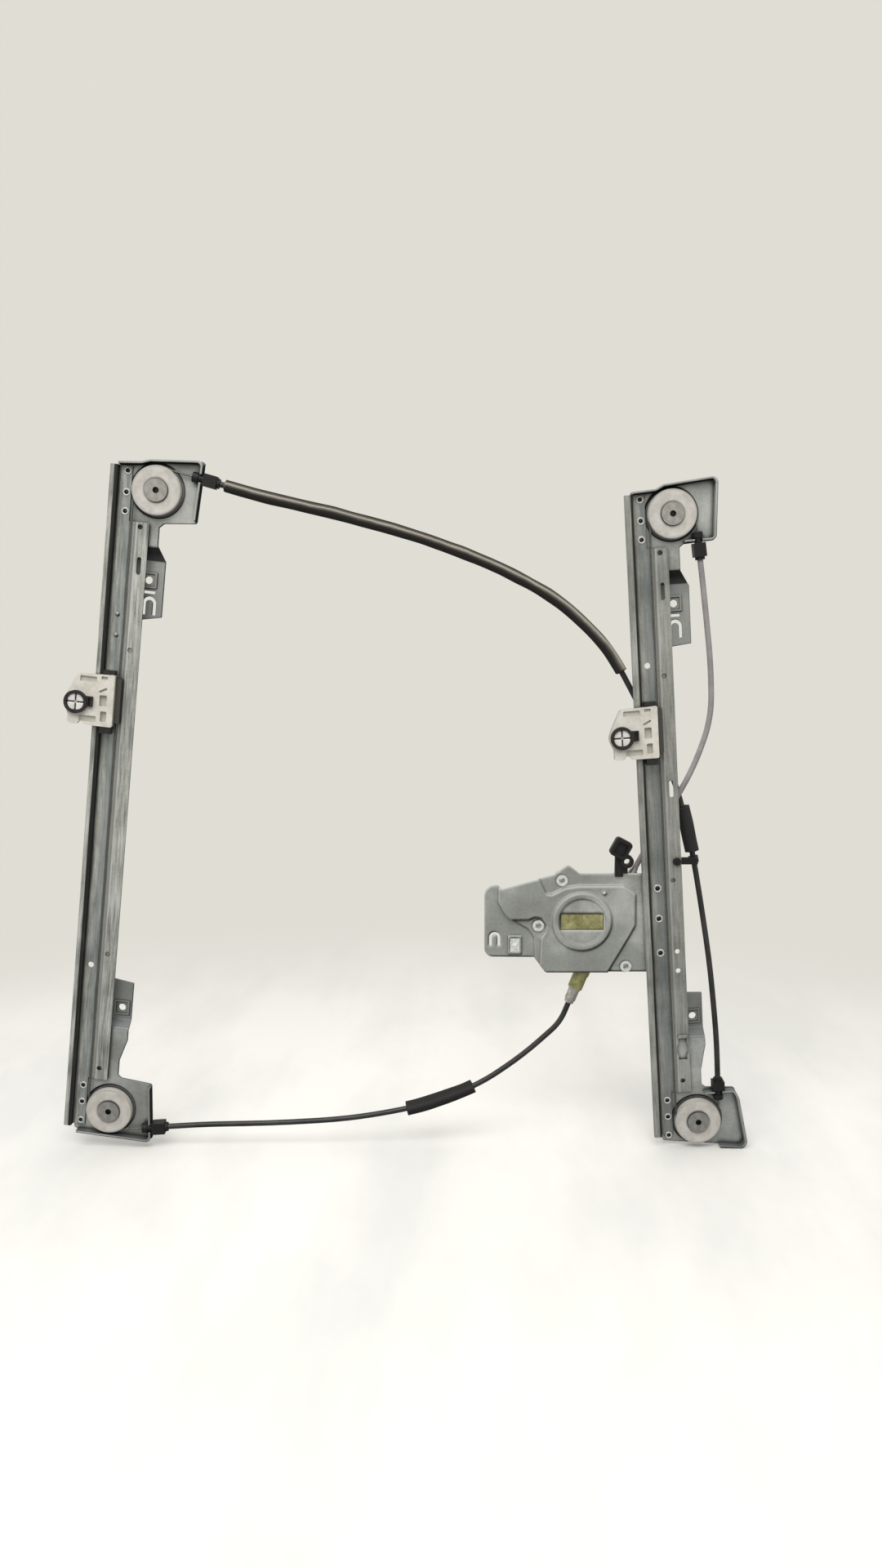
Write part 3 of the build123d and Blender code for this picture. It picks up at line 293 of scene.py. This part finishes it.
# Painted shade on edges that face down or right and a painted highlight on edges that face up.
zinc = painted_edge_light(tree, shader, zinc_look(tree, shader, place, (0.430, 0.445, 0.425)), 0.55,
                  (0.010, 0.010, 0.010, 1), (0.46, 0.47, 0.45, 1), 0.0018, 0.10, 0.34)
# Painted shade: surfaces that face up are painted darker, to hold back the ceiling light's reflection on the joggle
# slopes.
facing = node(tree, "ShaderNodeSeparateXYZ", {0: node(tree, "ShaderNodeNewGeometry").outputs["Normal"]}).outputs["Z"]
painted_slope_shade = node(tree, "ShaderNodeMapRange", {"Value": facing, 1: 0.12, 2: 0.40, 3: 0.0, 4: 0.8}).outputs[0]
zinc = blend_colour(tree, painted_slope_shade, zinc, (0.085, 0.094, 0.098, 1))
# Painted shade: the parts set back towards the door are darker; where surfaces meet it darkens too, partly grime and
# partly painted shade.
painted_back_shade = by_depth(tree, place, -0.0125, -0.0085, 0.0, 0.45)
tree.links.new(grime_and_corner_shade(tree, blend_colour(tree, painted_back_shade, zinc, (0.12, 0.126, 0.126, 1)), 0.005),
               shader.inputs["Base Color"])
dress(material, "bracket_top_left", "bracket_top_right", "bracket_bottom_left", "bracket_bottom_right")


# Clinched joints and rivets. Six pressed joints hold each rail to its two brackets and three rivets hold
# the right rail to the drum plate; each is a steel shank with a rolled rim in front and a head behind.
JOINT_U, JOINT_STEPS = 0.014, (0.014, -0.004, -0.020)
RIVET_STEPS = (-0.328, -0.356, -0.388)
RAIL_SPANS = {"rail_left": 0.5605, "rail_right": 0.549}
SHEET_FRONT, JOINT_LENGTH = -0.0172, 0.0032


def sizes_in(tree, **sizes):
    """Gives a tree its geometry in and out and its named sizes, and returns the sockets' identifiers."""
    tree.interface.new_socket("Geometry", in_out="OUTPUT", socket_type="NodeSocketGeometry")
    tree.interface.new_socket("Geometry", in_out="INPUT", socket_type="NodeSocketGeometry")
    made = {}
    for name, size in sizes.items():
        socket = tree.interface.new_socket(name, in_out="INPUT", socket_type="NodeSocketFloat")
        socket.default_value = size
        made[name] = socket.identifier
    return made


def placed(tree, geometry, move=(0, 0, 0), turn=(0, 0, 0), scale=(1, 1, 1)):
    return node(tree, "GeometryNodeTransform", {"Geometry": geometry, "Translation": move, "Rotation": turn,
                                                "Scale": scale}).outputs[0]


def vector_of(tree, x=0.0, y=0.0, z=0.0):
    return node(tree, "ShaderNodeCombineXYZ", {0: x, 1: y, 2: z}).outputs[0]


material, tree, shader = finish_of("pressed_joints", 0.4, 0.3)
place = own_place(tree)
worn = spots(tree, place, 900, 3)
rim = ramp(tree, worn, (0.35, (0.46, 0.46, 0.44)), (0.65, (0.74, 0.74, 0.71)))
# Painted shade: the recessed middle and everything behind the rim's front are painted near black, so the middle reads
# as a hole.
tree.links.new(blend_colour(tree, by_depth(tree, place, -0.0173, -0.0170), rim, (0.016, 0.016, 0.015, 1)),
               shader.inputs["Base Color"])
relief(tree, shader, worn, 0.0001, 0.4)

joint_tree = bpy.data.node_groups.new("pressed_joint", "GeometryNodeTree")
joint_sizes = sizes_in(joint_tree, rim_radius=0.0026, rim_thickness=0.0008, rim_rise=0.0005, shank_radius=0.00198,
                       length=JOINT_LENGTH, recess=0.0003, head_radius=0.0027, head_rise=0.0005)
given = node(joint_tree, "NodeGroupInput").outputs
ring_line = node(joint_tree, "GeometryNodeCurvePrimitiveCircle", {"Resolution": 40, "Radius": given["rim_radius"]})
ring_round = node(joint_tree, "GeometryNodeCurvePrimitiveCircle", {"Resolution": 12, "Radius": given["rim_thickness"]})
rolled = node(joint_tree, "GeometryNodeCurveToMesh", {"Curve": ring_line.outputs[0], "Profile Curve": ring_round.outputs[0]})
flatter = sum_of(joint_tree, given["rim_rise"], given["rim_thickness"], "DIVIDE")
front_rim = placed(joint_tree, rolled.outputs[0], turn=(pi / 2, 0, 0), scale=vector_of(joint_tree, 1, 1, flatter))
shank_length = sum_of(joint_tree, given["length"], given["recess"], "SUBTRACT")
shank = node(joint_tree, "GeometryNodeMeshCylinder", {"Vertices": 40, "Radius": given["shank_radius"],
                                                      "Depth": shank_length})
middle = sum_of(joint_tree, sum_of(joint_tree, given["length"], given["recess"]), 0.5, "MULTIPLY")
pressed = placed(joint_tree, shank.outputs[0], vector_of(joint_tree, y=middle), (pi / 2, 0, 0))
button = node(joint_tree, "GeometryNodeMeshUVSphere", {"Segments": 32, "Rings": 12, "Radius": given["head_radius"]})
flat_head = sum_of(joint_tree, given["head_rise"], given["head_radius"], "DIVIDE")
head = placed(joint_tree, button.outputs[0], vector_of(joint_tree, y=given["length"]), (pi / 2, 0, 0),
              vector_of(joint_tree, 1, 1, flat_head))
whole = node(joint_tree, "GeometryNodeJoinGeometry")
for part in (front_rim, pressed, head):
    joint_tree.links.new(part, whole.inputs[0])
spread = node(joint_tree, "GeometryNodeInstanceOnPoints", {"Points": given["Geometry"], "Instance": whole.outputs[0]})
real = node(joint_tree, "GeometryNodeRealizeInstances", {"Geometry": spread.outputs[0]})
finished = node(joint_tree, "GeometryNodeSetMaterial", {"Geometry": real.outputs[0], "Material": material})
node(joint_tree, "NodeGroupOutput", {0: finished.outputs[0]})


def rail_place(rail, u, w, y):
    """A point of a rail's own frame, in the regulator's frame."""
    (x, _, z), tilt = RAIL_TOPS[rail]
    u, turn = u - PULLEY_SHIFT, radians(tilt)
    return x + u * cos(turn) + w * sin(turn), y, z - u * sin(turn) + w * cos(turn)


def on_points(name, tree, places, sizes, old, body="frame"):
    """The tree's geometry at these places, made a plain mesh that stands for a CAD node."""
    points = bpy.data.meshes.new(name)
    points.from_pydata(places, [], [])
    piece = bpy.data.objects.new(name, points)
    bpy.context.scene.collection.objects.link(piece)
    maker = piece.modifiers.new("maker", "NODES")
    maker.node_group = tree
    for identifier, size in sizes.items():
        maker[identifier] = size
    plain = bpy.data.meshes.new_from_object(piece.evaluated_get(bpy.context.evaluated_depsgraph_get()))
    piece.modifiers.clear()
    piece.data = plain
    bpy.data.meshes.remove(points)
    for face in plain.polygons:
        face.use_smooth = body == "frame"
    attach(piece, body)
    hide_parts(old)
    return piece


for side in ("left", "right"):
    rail = "rail_" + side
    steps = [*JOINT_STEPS, *(-RAIL_SPANS[rail] - step for step in JOINT_STEPS)]
    on_points("joints_" + side, joint_tree, [rail_place(rail, JOINT_U, w, SHEET_FRONT) for w in steps], {},
              "clinch_pins_" + side)

rivet_sizes = {"rim_radius": 0.0029, "rim_thickness": 0.0008, "rim_rise": 0.0004, "shank_radius": 0.00245,
               "recess": 0.0004, "head_radius": 0.0038, "head_rise": 0.0008}
on_points("rivets_right", joint_tree, [rail_place("rail_right", JOINT_U, w, SHEET_FRONT) for w in RIVET_STEPS],
          {joint_sizes[name]: size for name, size in rivet_sizes.items()}, "plate_rivets")


# Drum plate. One 2 mm pressing with a raised dome over the drum, zinc plated like the brackets, with
# the square captive nut caged at its left end.
material, tree, shader = finish_of("plate_zinc", 0.42, 0.5)
place = own_place(tree)
# Painted light: painted shade on edges that face down or right, a painted highlight on edges that face up, and
# darkening where surfaces meet, partly grime and partly painted shade.
toned = painted_edge_light(tree, shader, zinc_look(tree, shader, place, (0.375, 0.390, 0.362)), 0.5,
                   (0.022, 0.022, 0.021, 1), (0.84, 0.84, 0.80, 1), 0.0042, 0.12, 0.38)
tree.links.new(grime_and_corner_shade(tree, toned, 0.0025, 0.45), shader.inputs["Base Color"])
dress(material, "drum_plate", "nut_cage")

material, tree, shader = finish_of("bright_steel", 0.38, 0.25)
worn = spots(tree, own_place(tree), 600, 3)
bright = ramp(tree, worn, (0.35, (0.62, 0.62, 0.59)), (0.65, (0.88, 0.88, 0.85)))
# Darkening where surfaces meet: partly grime, partly painted shade.
tree.links.new(grime_and_corner_shade(tree, bright, 0.0016), shader.inputs["Base Color"])
dress(material, "plate_nut", "motor_bushes")


# Drum housing. A moulding of unfilled nylon gone olive yellow with age and grease; its face shows in
# the plate's window and its two sockets take the conduit springs. The rear cover is black.
material, tree, shader = finish_of("housing_nylon", 0.42)
place = own_place(tree)
aged = spots(tree, place, 60, 5, 0.6)
stain = spots(tree, place, 240, 4, 0.6)
yellow = ramp(tree, aged, (0.30, (0.20, 0.19, 0.07)), (0.52, (0.31, 0.29, 0.125)), (0.72, (0.43, 0.405, 0.21)))
tree.links.new(blend_colour(tree, 0.4, yellow, ramp(tree, stain, (0.35, grey(0.3)), (0.6, grey(0.75))), "OVERLAY"),
               shader.inputs["Base Color"])
shader.inputs["Subsurface Weight"].default_value = 0.08
shader.inputs["Subsurface Radius"].default_value = (0.004, 0.003, 0.001)
relief(tree, shader, stain, 0.0001, 0.3)
dress(material, "drum_housing")

material, tree, shader = finish_of("cover_nylon", 0.5)
grain = spots(tree, own_place(tree), 1500, 3)
tree.links.new(ramp(tree, grain, (0.3, (0.016, 0.016, 0.017)), (0.7, (0.045, 0.045, 0.046))),
               shader.inputs["Base Color"])
relief(tree, shader, grain, 0.00008, 0.5)
dress(material, "housing_cover")


# Cable drum. A natural nylon drum with a toothed drive bore and the turns of greased cable in its
# grooves, hidden between the housing and its cover.
material, tree, shader = finish_of("drum_nylon", 0.38)
aged = spots(tree, own_place(tree), 120, 4)
tree.links.new(ramp(tree, aged, (0.3, (0.44, 0.42, 0.35)), (0.7, (0.62, 0.60, 0.53))), shader.inputs["Base Color"])
shader.inputs["Subsurface Weight"].default_value = 0.1
shader.inputs["Subsurface Radius"].default_value = (0.004, 0.004, 0.003)
dress(material, "drum")


# Conduits. Long-pitch wire coils in a smooth plastic skin: black on the crossing and lower runs, grey
# lilac on the upper right one.
def skin_finish(name, dark, pale, roughness):
    material, tree, shader = finish_of(name, roughness)
    place = own_place(tree)
    dusty = spots(tree, place, 55, 4, 0.6)
    scuffs = spots(tree, place, 700, 3, 0.6)
    tree.links.new(ramp(tree, dusty, (0.35, dark), (0.7, pale)), shader.inputs["Base Color"])
    gloss = node(tree, "ShaderNodeMapRange", {"Value": scuffs, 1: 0.3, 2: 0.7, 3: roughness - 0.08, 4: roughness + 0.12})
    tree.links.new(gloss.outputs[0], shader.inputs["Roughness"])
    relief(tree, shader, scuffs, 0.00006, 0.3)
    return material


dress(skin_finish("conduit_black", (0.012, 0.012, 0.013), (0.035, 0.034, 0.033), 0.34), "conduit_crossing",
      "conduit_lower")
dress(skin_finish("conduit_grey", (0.26, 0.235, 0.235), (0.38, 0.35, 0.345), 0.40), "conduit_upper")


# Conduit springs and ferrules: bright spring wire under a satin steel cap where each conduit seats in
# the drum housing.
material, tree, shader = finish_of("ferrule_steel", 0.3, 0.85)
worn = spots(tree, own_place(tree), 350, 4)
tree.links.new(ramp(tree, worn, (0.32, (0.30, 0.29, 0.27)), (0.66, (0.62, 0.61, 0.58))), shader.inputs["Base Color"])
relief(tree, shader, worn, 0.0001, 0.25)
dress(material, "ferrule_lower", "ferrule_upper", "spring_lower", "spring_upper")


# Steel cables. Twisted galvanised strands under dark grease, drawn along the rails, round the pulleys
# and through the conduits; the nipples at their ends sit in the carriers.
material, tree, shader = finish_of("greased_strands", 0.36, 0.75)
strands = spots(tree, own_place(tree), 1800, 2)
tree.links.new(ramp(tree, strands, (0.38, (0.05, 0.05, 0.045)), (0.62, (0.26, 0.26, 0.24))),
               shader.inputs["Base Color"])
relief(tree, shader, strands, 0.0002, 0.6)
dress(material, "cable_upper", "cable_lower", "cable_crossing", "drum_windings", "cable_nipples_left",
      "cable_nipples_right")


# Foam tube and tape sleeves. Soft closed-cell foam, slit and pushed over the crossing conduit, and two
# short sleeves that stop the conduits from rattling against the door.
def soft_sleeve(name, old, lump, size, shade_mid_highlight, depth):
    """A copy of the sleeve's solid, remeshed and pushed in and out like cut foam."""
    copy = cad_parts[old].data.copy()
    piece = bpy.data.objects.new(name, copy)
    bpy.context.scene.collection.objects.link(piece)
    bpy.context.view_layer.objects.active = piece
    weld = piece.modifiers.new("weld", "WELD")
    weld.merge_threshold = 0.00002
    grain = piece.modifiers.new("grain", "REMESH")
    grain.mode, grain.voxel_size, grain.use_smooth_shade = "VOXEL", size, True
    plain = bpy.data.meshes.new_from_object(piece.evaluated_get(bpy.context.evaluated_depsgraph_get()))
    piece.modifiers.clear()
    piece.data = plain
    bpy.data.meshes.remove(copy)
    plain.calc_loop_triangles()
    moved = [(vertex.co + vertex.normal * lump * (noise.noise(vertex.co * 45) - 0.6)) for vertex in plain.vertices]
    for vertex, spot in zip(plain.vertices, moved):
        vertex.co = spot
    material, tree, shader = finish_of(name + "_skin", 0.85)
    place = own_place(tree)
    cells = node(tree, "ShaderNodeTexVoronoi", {"Vector": place, "Scale": 1100}).outputs["Distance"]
    cloudy = spots(tree, place, 60, 5, 0.6)
    # Painted light: the sleeve's upward-facing side gets a painted highlight band, with painted shade on both sides.
    facing = node(tree, "ShaderNodeSeparateXYZ", {0: node(tree, "ShaderNodeNewGeometry").outputs["Normal"]}).outputs["Z"]
    turned = sum_of(tree, facing, sum_of(tree, cloudy, 0.25, "MULTIPLY"))
    painted_top_light = node(tree, "ShaderNodeMapRange", {"Value": turned, 1: -0.9, 2: 1.1}).outputs[0]
    tree.links.new(ramp(tree, painted_top_light, (0.44, shade_mid_highlight[0]), (0.56, shade_mid_highlight[1]), (0.69, shade_mid_highlight[2]), (0.80, shade_mid_highlight[1]), (0.92, shade_mid_highlight[0])),
                   shader.inputs["Base Color"])
    relief(tree, shader, cells, depth, 0.6)
    plain.materials.clear()
    plain.materials.append(material)
    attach(piece, "frame")
    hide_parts(old)
    return piece


soft_sleeve("foam_tube", "foam_sleeve", 0.0006, 0.0012,
            ((0.012, 0.010, 0.008), (0.090, 0.080, 0.065), (0.400, 0.365, 0.300)), 0.0002)
soft_sleeve("tape_sleeve_right", "sleeve_right", 0.0005, 0.0009,
            ((0.010, 0.010, 0.010), (0.018, 0.017, 0.017), (0.032, 0.030, 0.029)), 0.0003)
soft_sleeve("tape_sleeve_lower", "sleeve_lower", 0.0005, 0.0009,
            ((0.010, 0.010, 0.010), (0.018, 0.017, 0.017), (0.032, 0.030, 0.029)), 0.0003)


# Conduit ends and clips. Black acetal mouldings: the four ends drop into the brackets' notches, one
# clip ties the crossing conduit to the right rail and one on the drum plate's top edge holds the wiring.
material, tree, shader = finish_of("black_acetal", 0.5)
shader.inputs["Specular IOR Level"].default_value = 0.3
grain = spots(tree, own_place(tree), 900, 4)
tree.links.new(ramp(tree, grain, (0.3, (0.006, 0.006, 0.006)), (0.7, (0.019, 0.018, 0.018))),
               shader.inputs["Base Color"])
relief(tree, shader, grain, 0.0001, 0.35)
dress(material, "end_fitting_top_left", "end_fitting_top_right", "end_fitting_bottom_left",
      "end_fitting_bottom_right", "conduit_clip", "wiring_clip")


# Pulleys. Off-white acetal wheels, turned by the cable on a flat-headed steel axle; their faces carry
# faint turning rings and darken towards the rim.
CORNERS = {"top_left": (-0.3695, 0.3787), "top_right": (0.0704, 0.3592)}
for side, tilt, span in (("left", 6.5, 0.5605), ("right", -4.1, 0.549)):
    x, z = CORNERS["top_" + side]
    CORNERS["bottom_" + side] = (x - span * sin(radians(tilt)), z - span * cos(radians(tilt)))

for corner, (x, z) in CORNERS.items():
    material, tree, shader = finish_of("wheel_acetal_" + corner, 0.36)
    place = node(tree, "ShaderNodeMapping", {"Vector": own_place(tree), "Location": (-x, 0, -z)}).outputs[0]
    flat = node(tree, "ShaderNodeVectorMath", {0: place, 1: (1, 0, 1)}, operation="MULTIPLY").outputs[0]
    radius = node(tree, "ShaderNodeVectorMath", {0: flat}, operation="LENGTH").outputs["Value"]
    smudge = spots(tree, place, 90, 5, 0.6)
    # Darker towards the rim.
    rim = node(tree, "ShaderNodeMapRange", {"Value": sum_of(tree, radius, sum_of(tree, smudge, 0.006, "MULTIPLY")),
                                            1: 0.0222, 2: 0.0250, 3: 0.0, 4: 0.55}).outputs[0]
    shade = ramp(tree, smudge, (0.30, (0.43, 0.405, 0.36)), (0.52, (0.58, 0.55, 0.495)), (0.72, (0.68, 0.65, 0.595)))
    # Painted shade: a dark ring round the axle's head.
    painted_seat_shade = ramp(tree, node(tree, "ShaderNodeMapRange", {"Value": radius, 1: 0.008, 2: 0.013}).outputs[0],
                (0.20, grey(0.9)), (0.42, grey(0.9)), (0.56, grey(0)))
    tree.links.new(blend_colour(tree, painted_seat_shade, blend_colour(tree, rim, shade, (0.10, 0.095, 0.08, 1)),
                                (0.05, 0.047, 0.042, 1)), shader.inputs["Base Color"])
    rings = sum_of(tree, sum_of(tree, radius, 4200, "MULTIPLY"), 0, "SINE")
    relief(tree, shader, rings, 0.00003, 0.1)
    dress(material, "pulley_" + corner)

    material, tree, shader = finish_of("axle_steel_" + corner, 0.34, 0.8)
    place = node(tree, "ShaderNodeMapping", {"Vector": own_place(tree), "Location": (-x, 0, -z)}).outputs[0]
    worn = spots(tree, place, 260, 4)
    disc = ramp(tree, worn, (0.3, (0.34, 0.325, 0.305)), (0.7, (0.50, 0.485, 0.46)))
    # Painted shade: the disc's side and what lies behind it are painted near black, a dark outline round the disc.
    tree.links.new(blend_colour(tree, by_depth(tree, place, -0.0247, -0.0245), disc, (0.03, 0.029, 0.027, 1)),
                   shader.inputs["Base Color"])
    relief(tree, shader, worn, 0.0001, 0.3)
    dress(material, "pulley_axle_" + corner)


# Glass carriers. Ivory acetal shoes that slide on the rails' flanges, with a black rubber ring and a
# white four-petal socket for the glass pin, and rubber blocks above and below; soiled with grease, with painted shade
# in the pockets and at the back.
material, tree, shader = finish_of("shoe_acetal", 0.40)
place = own_place(tree)
soil = spots(tree, place, 75, 6, 0.65)
fine = spots(tree, place, 500, 4, 0.6)
ivory = ramp(tree, soil, (0.26, (0.38, 0.34, 0.26)), (0.37, (0.60, 0.56, 0.48)), (0.55, (0.73, 0.69, 0.61)),
             (0.75, (0.80, 0.765, 0.69)))
# Painted shade: the pocket bottoms are painted darker.
painted_pocket_shade = by_depth(tree, place, -0.0288, -0.0280, 0.0, 0.85)
ivory = blend_colour(tree, painted_pocket_shade, ivory, (0.50, 0.49, 0.42, 1))
# Painted shade: the part of the shoe that sits back in the rail's channel is painted near black.
ivory = blend_colour(tree, by_depth(tree, place, -0.0250, -0.0246, 0.0, 0.94), ivory, (0.030, 0.027, 0.020, 1))
tree.links.new(blend_colour(tree, 0.25, ivory, ramp(tree, fine, (0.32, grey(0.35)), (0.6, grey(0.7))), "OVERLAY"),
               shader.inputs["Base Color"])
shader.inputs["Subsurface Weight"].default_value = 0.1
shader.inputs["Subsurface Radius"].default_value = (0.004, 0.003, 0.002)
relief(tree, shader, fine, 0.0001, 0.3)
dress(material, "carrier_left", "carrier_right")

# The socket: four sprung petals round a small hub, on a collar that snaps into the carrier.
SOCKET_U, SOCKET_W = -0.0130, -0.0034
SOCKET_SEAT = -0.0290
CARRIER_RESTS = {"rail_left": -0.1831, "rail_right": -0.1853}

material, tree, shader = finish_of("socket_nylon", 0.38)
place = own_place(tree)
soil = spots(tree, place, 160, 4)
petals = ramp(tree, soil, (0.3, (0.66, 0.64, 0.59)), (0.7, (0.86, 0.84, 0.79)))
# Painted shade: the collar and slot bottoms behind the petals are painted near black.
tree.links.new(blend_colour(tree, by_depth(tree, place, -0.0311, -0.0303), petals, (0.030, 0.028, 0.024, 1)),
               shader.inputs["Base Color"])

petal_tree = bpy.data.node_groups.new("petal_socket", "GeometryNodeTree")
petal_sizes = sizes_in(petal_tree, petal_radius=0.0065, slot=0.0012, corner=0.0006, thickness=0.0021, chamfer=0.0005,
                       hub_radius=0.0011, hub_height=0.0018, collar_radius=0.0073, collar_length=0.0056, turn=0.0)
given = node(petal_tree, "NodeGroupInput").outputs
sector = node(petal_tree, "GeometryNodeCurveArc", {"Resolution": 20, "Radius": given["petal_radius"], "Start Angle": -pi / 4,
                                                   "Sweep Angle": pi / 2, "Connect Center": True})
eased = node(petal_tree, "GeometryNodeFilletCurve", {"Curve": sector.outputs[0], "Radius": given["corner"],
                                                     "Limit Radius": True}, mode="POLY")
flat_petal = node(petal_tree, "GeometryNodeFillCurve", {"Curve": eased.outputs[0]}, mode="NGONS")
underside = node(petal_tree, "GeometryNodeFlipFaces", {"Mesh": flat_petal.outputs[0]})
raised = node(petal_tree, "GeometryNodeExtrudeMesh", {"Mesh": flat_petal.outputs[0], "Offset": (0, 0, 1),
                                                      "Offset Scale": given["thickness"]})
capped = node(petal_tree, "GeometryNodeExtrudeMesh", {"Mesh": raised.outputs["Mesh"], "Selection": raised.outputs["Top"],
                                                      "Offset": (0, 0, 1), "Offset Scale": given["chamfer"]})
domed = node(petal_tree, "GeometryNodeScaleElements", {"Geometry": capped.outputs["Mesh"],
                                                       "Selection": capped.outputs["Top"], "Scale": 0.84})
petal = node(petal_tree, "GeometryNodeJoinGeometry")
for part in (domed.outputs[0], underside.outputs[0]):
    petal_tree.links.new(part, petal.inputs[0])
petal = node(petal_tree, "GeometryNodeMergeByDistance", {"Geometry": petal.outputs[0], "Distance": 0.000002})
apart = sum_of(petal_tree, given["slot"], 2 ** 0.5, "DIVIDE")
corners = node(petal_tree, "GeometryNodeMeshCircle", {"Vertices": 4, "Radius": apart})
quarter = sum_of(petal_tree, node(petal_tree, "GeometryNodeInputIndex").outputs[0], pi / 2, "MULTIPLY")
four = node(petal_tree, "GeometryNodeInstanceOnPoints", {"Points": corners.outputs[0], "Instance": petal.outputs[0],
                                                         "Rotation": vector_of(petal_tree, z=quarter)})
crossed = placed(petal_tree, four.outputs[0], turn=(0, 0, pi / 4))
hub = node(petal_tree, "GeometryNodeMeshCylinder", {"Vertices": 20, "Radius": given["hub_radius"],
                                                    "Depth": given["hub_height"]})
hub_middle = sum_of(petal_tree, given["hub_height"], 0.5, "MULTIPLY")
collar = node(petal_tree, "GeometryNodeMeshCylinder", {"Vertices": 48, "Radius": given["collar_radius"],
                                                       "Depth": given["collar_length"]})
collar_middle = sum_of(petal_tree, given["collar_length"], -0.5, "MULTIPLY")
whole = node(petal_tree, "GeometryNodeJoinGeometry")
for part in (crossed, placed(petal_tree, hub.outputs[0], vector_of(petal_tree, z=hub_middle)),
             placed(petal_tree, collar.outputs[0], vector_of(petal_tree, z=collar_middle))):
    petal_tree.links.new(part, whole.inputs[0])
turned = placed(petal_tree, whole.outputs[0], turn=vector_of(petal_tree, x=pi / 2, y=given["turn"]))
spread = node(petal_tree, "GeometryNodeInstanceOnPoints", {"Points": given["Geometry"], "Instance": turned})
real = node(petal_tree, "GeometryNodeRealizeInstances", {"Geometry": spread.outputs[0]})
finished = node(petal_tree, "GeometryNodeSetMaterial", {"Geometry": real.outputs[0], "Material": material})
node(petal_tree, "NodeGroupOutput", {0: finished.outputs[0]})

for side in ("left", "right"):
    rail = "rail_" + side
    spot = rail_place(rail, SOCKET_U, CARRIER_RESTS[rail] + SOCKET_W, SOCKET_SEAT)
    on_points("petal_socket_" + side, petal_tree, [spot], {petal_sizes["turn"]: radians(RAIL_TOPS[rail][1])},
              "glass_clip_" + side, "carrier_" + side)

material, tree, shader = finish_of("ring_rubber", 0.62)
bloom = spots(tree, own_place(tree), 300, 5, 0.6)
tree.links.new(ramp(tree, bloom, (0.32, (0.006, 0.0055, 0.005)), (0.7, (0.020, 0.018, 0.016))),
               shader.inputs["Base Color"])
relief(tree, shader, bloom, 0.00015, 0.5)
dress(material, "glass_ring_left", "glass_ring_right", "bumper_left", "bumper_right", "lower_stop_left",
      "lower_stop_right")
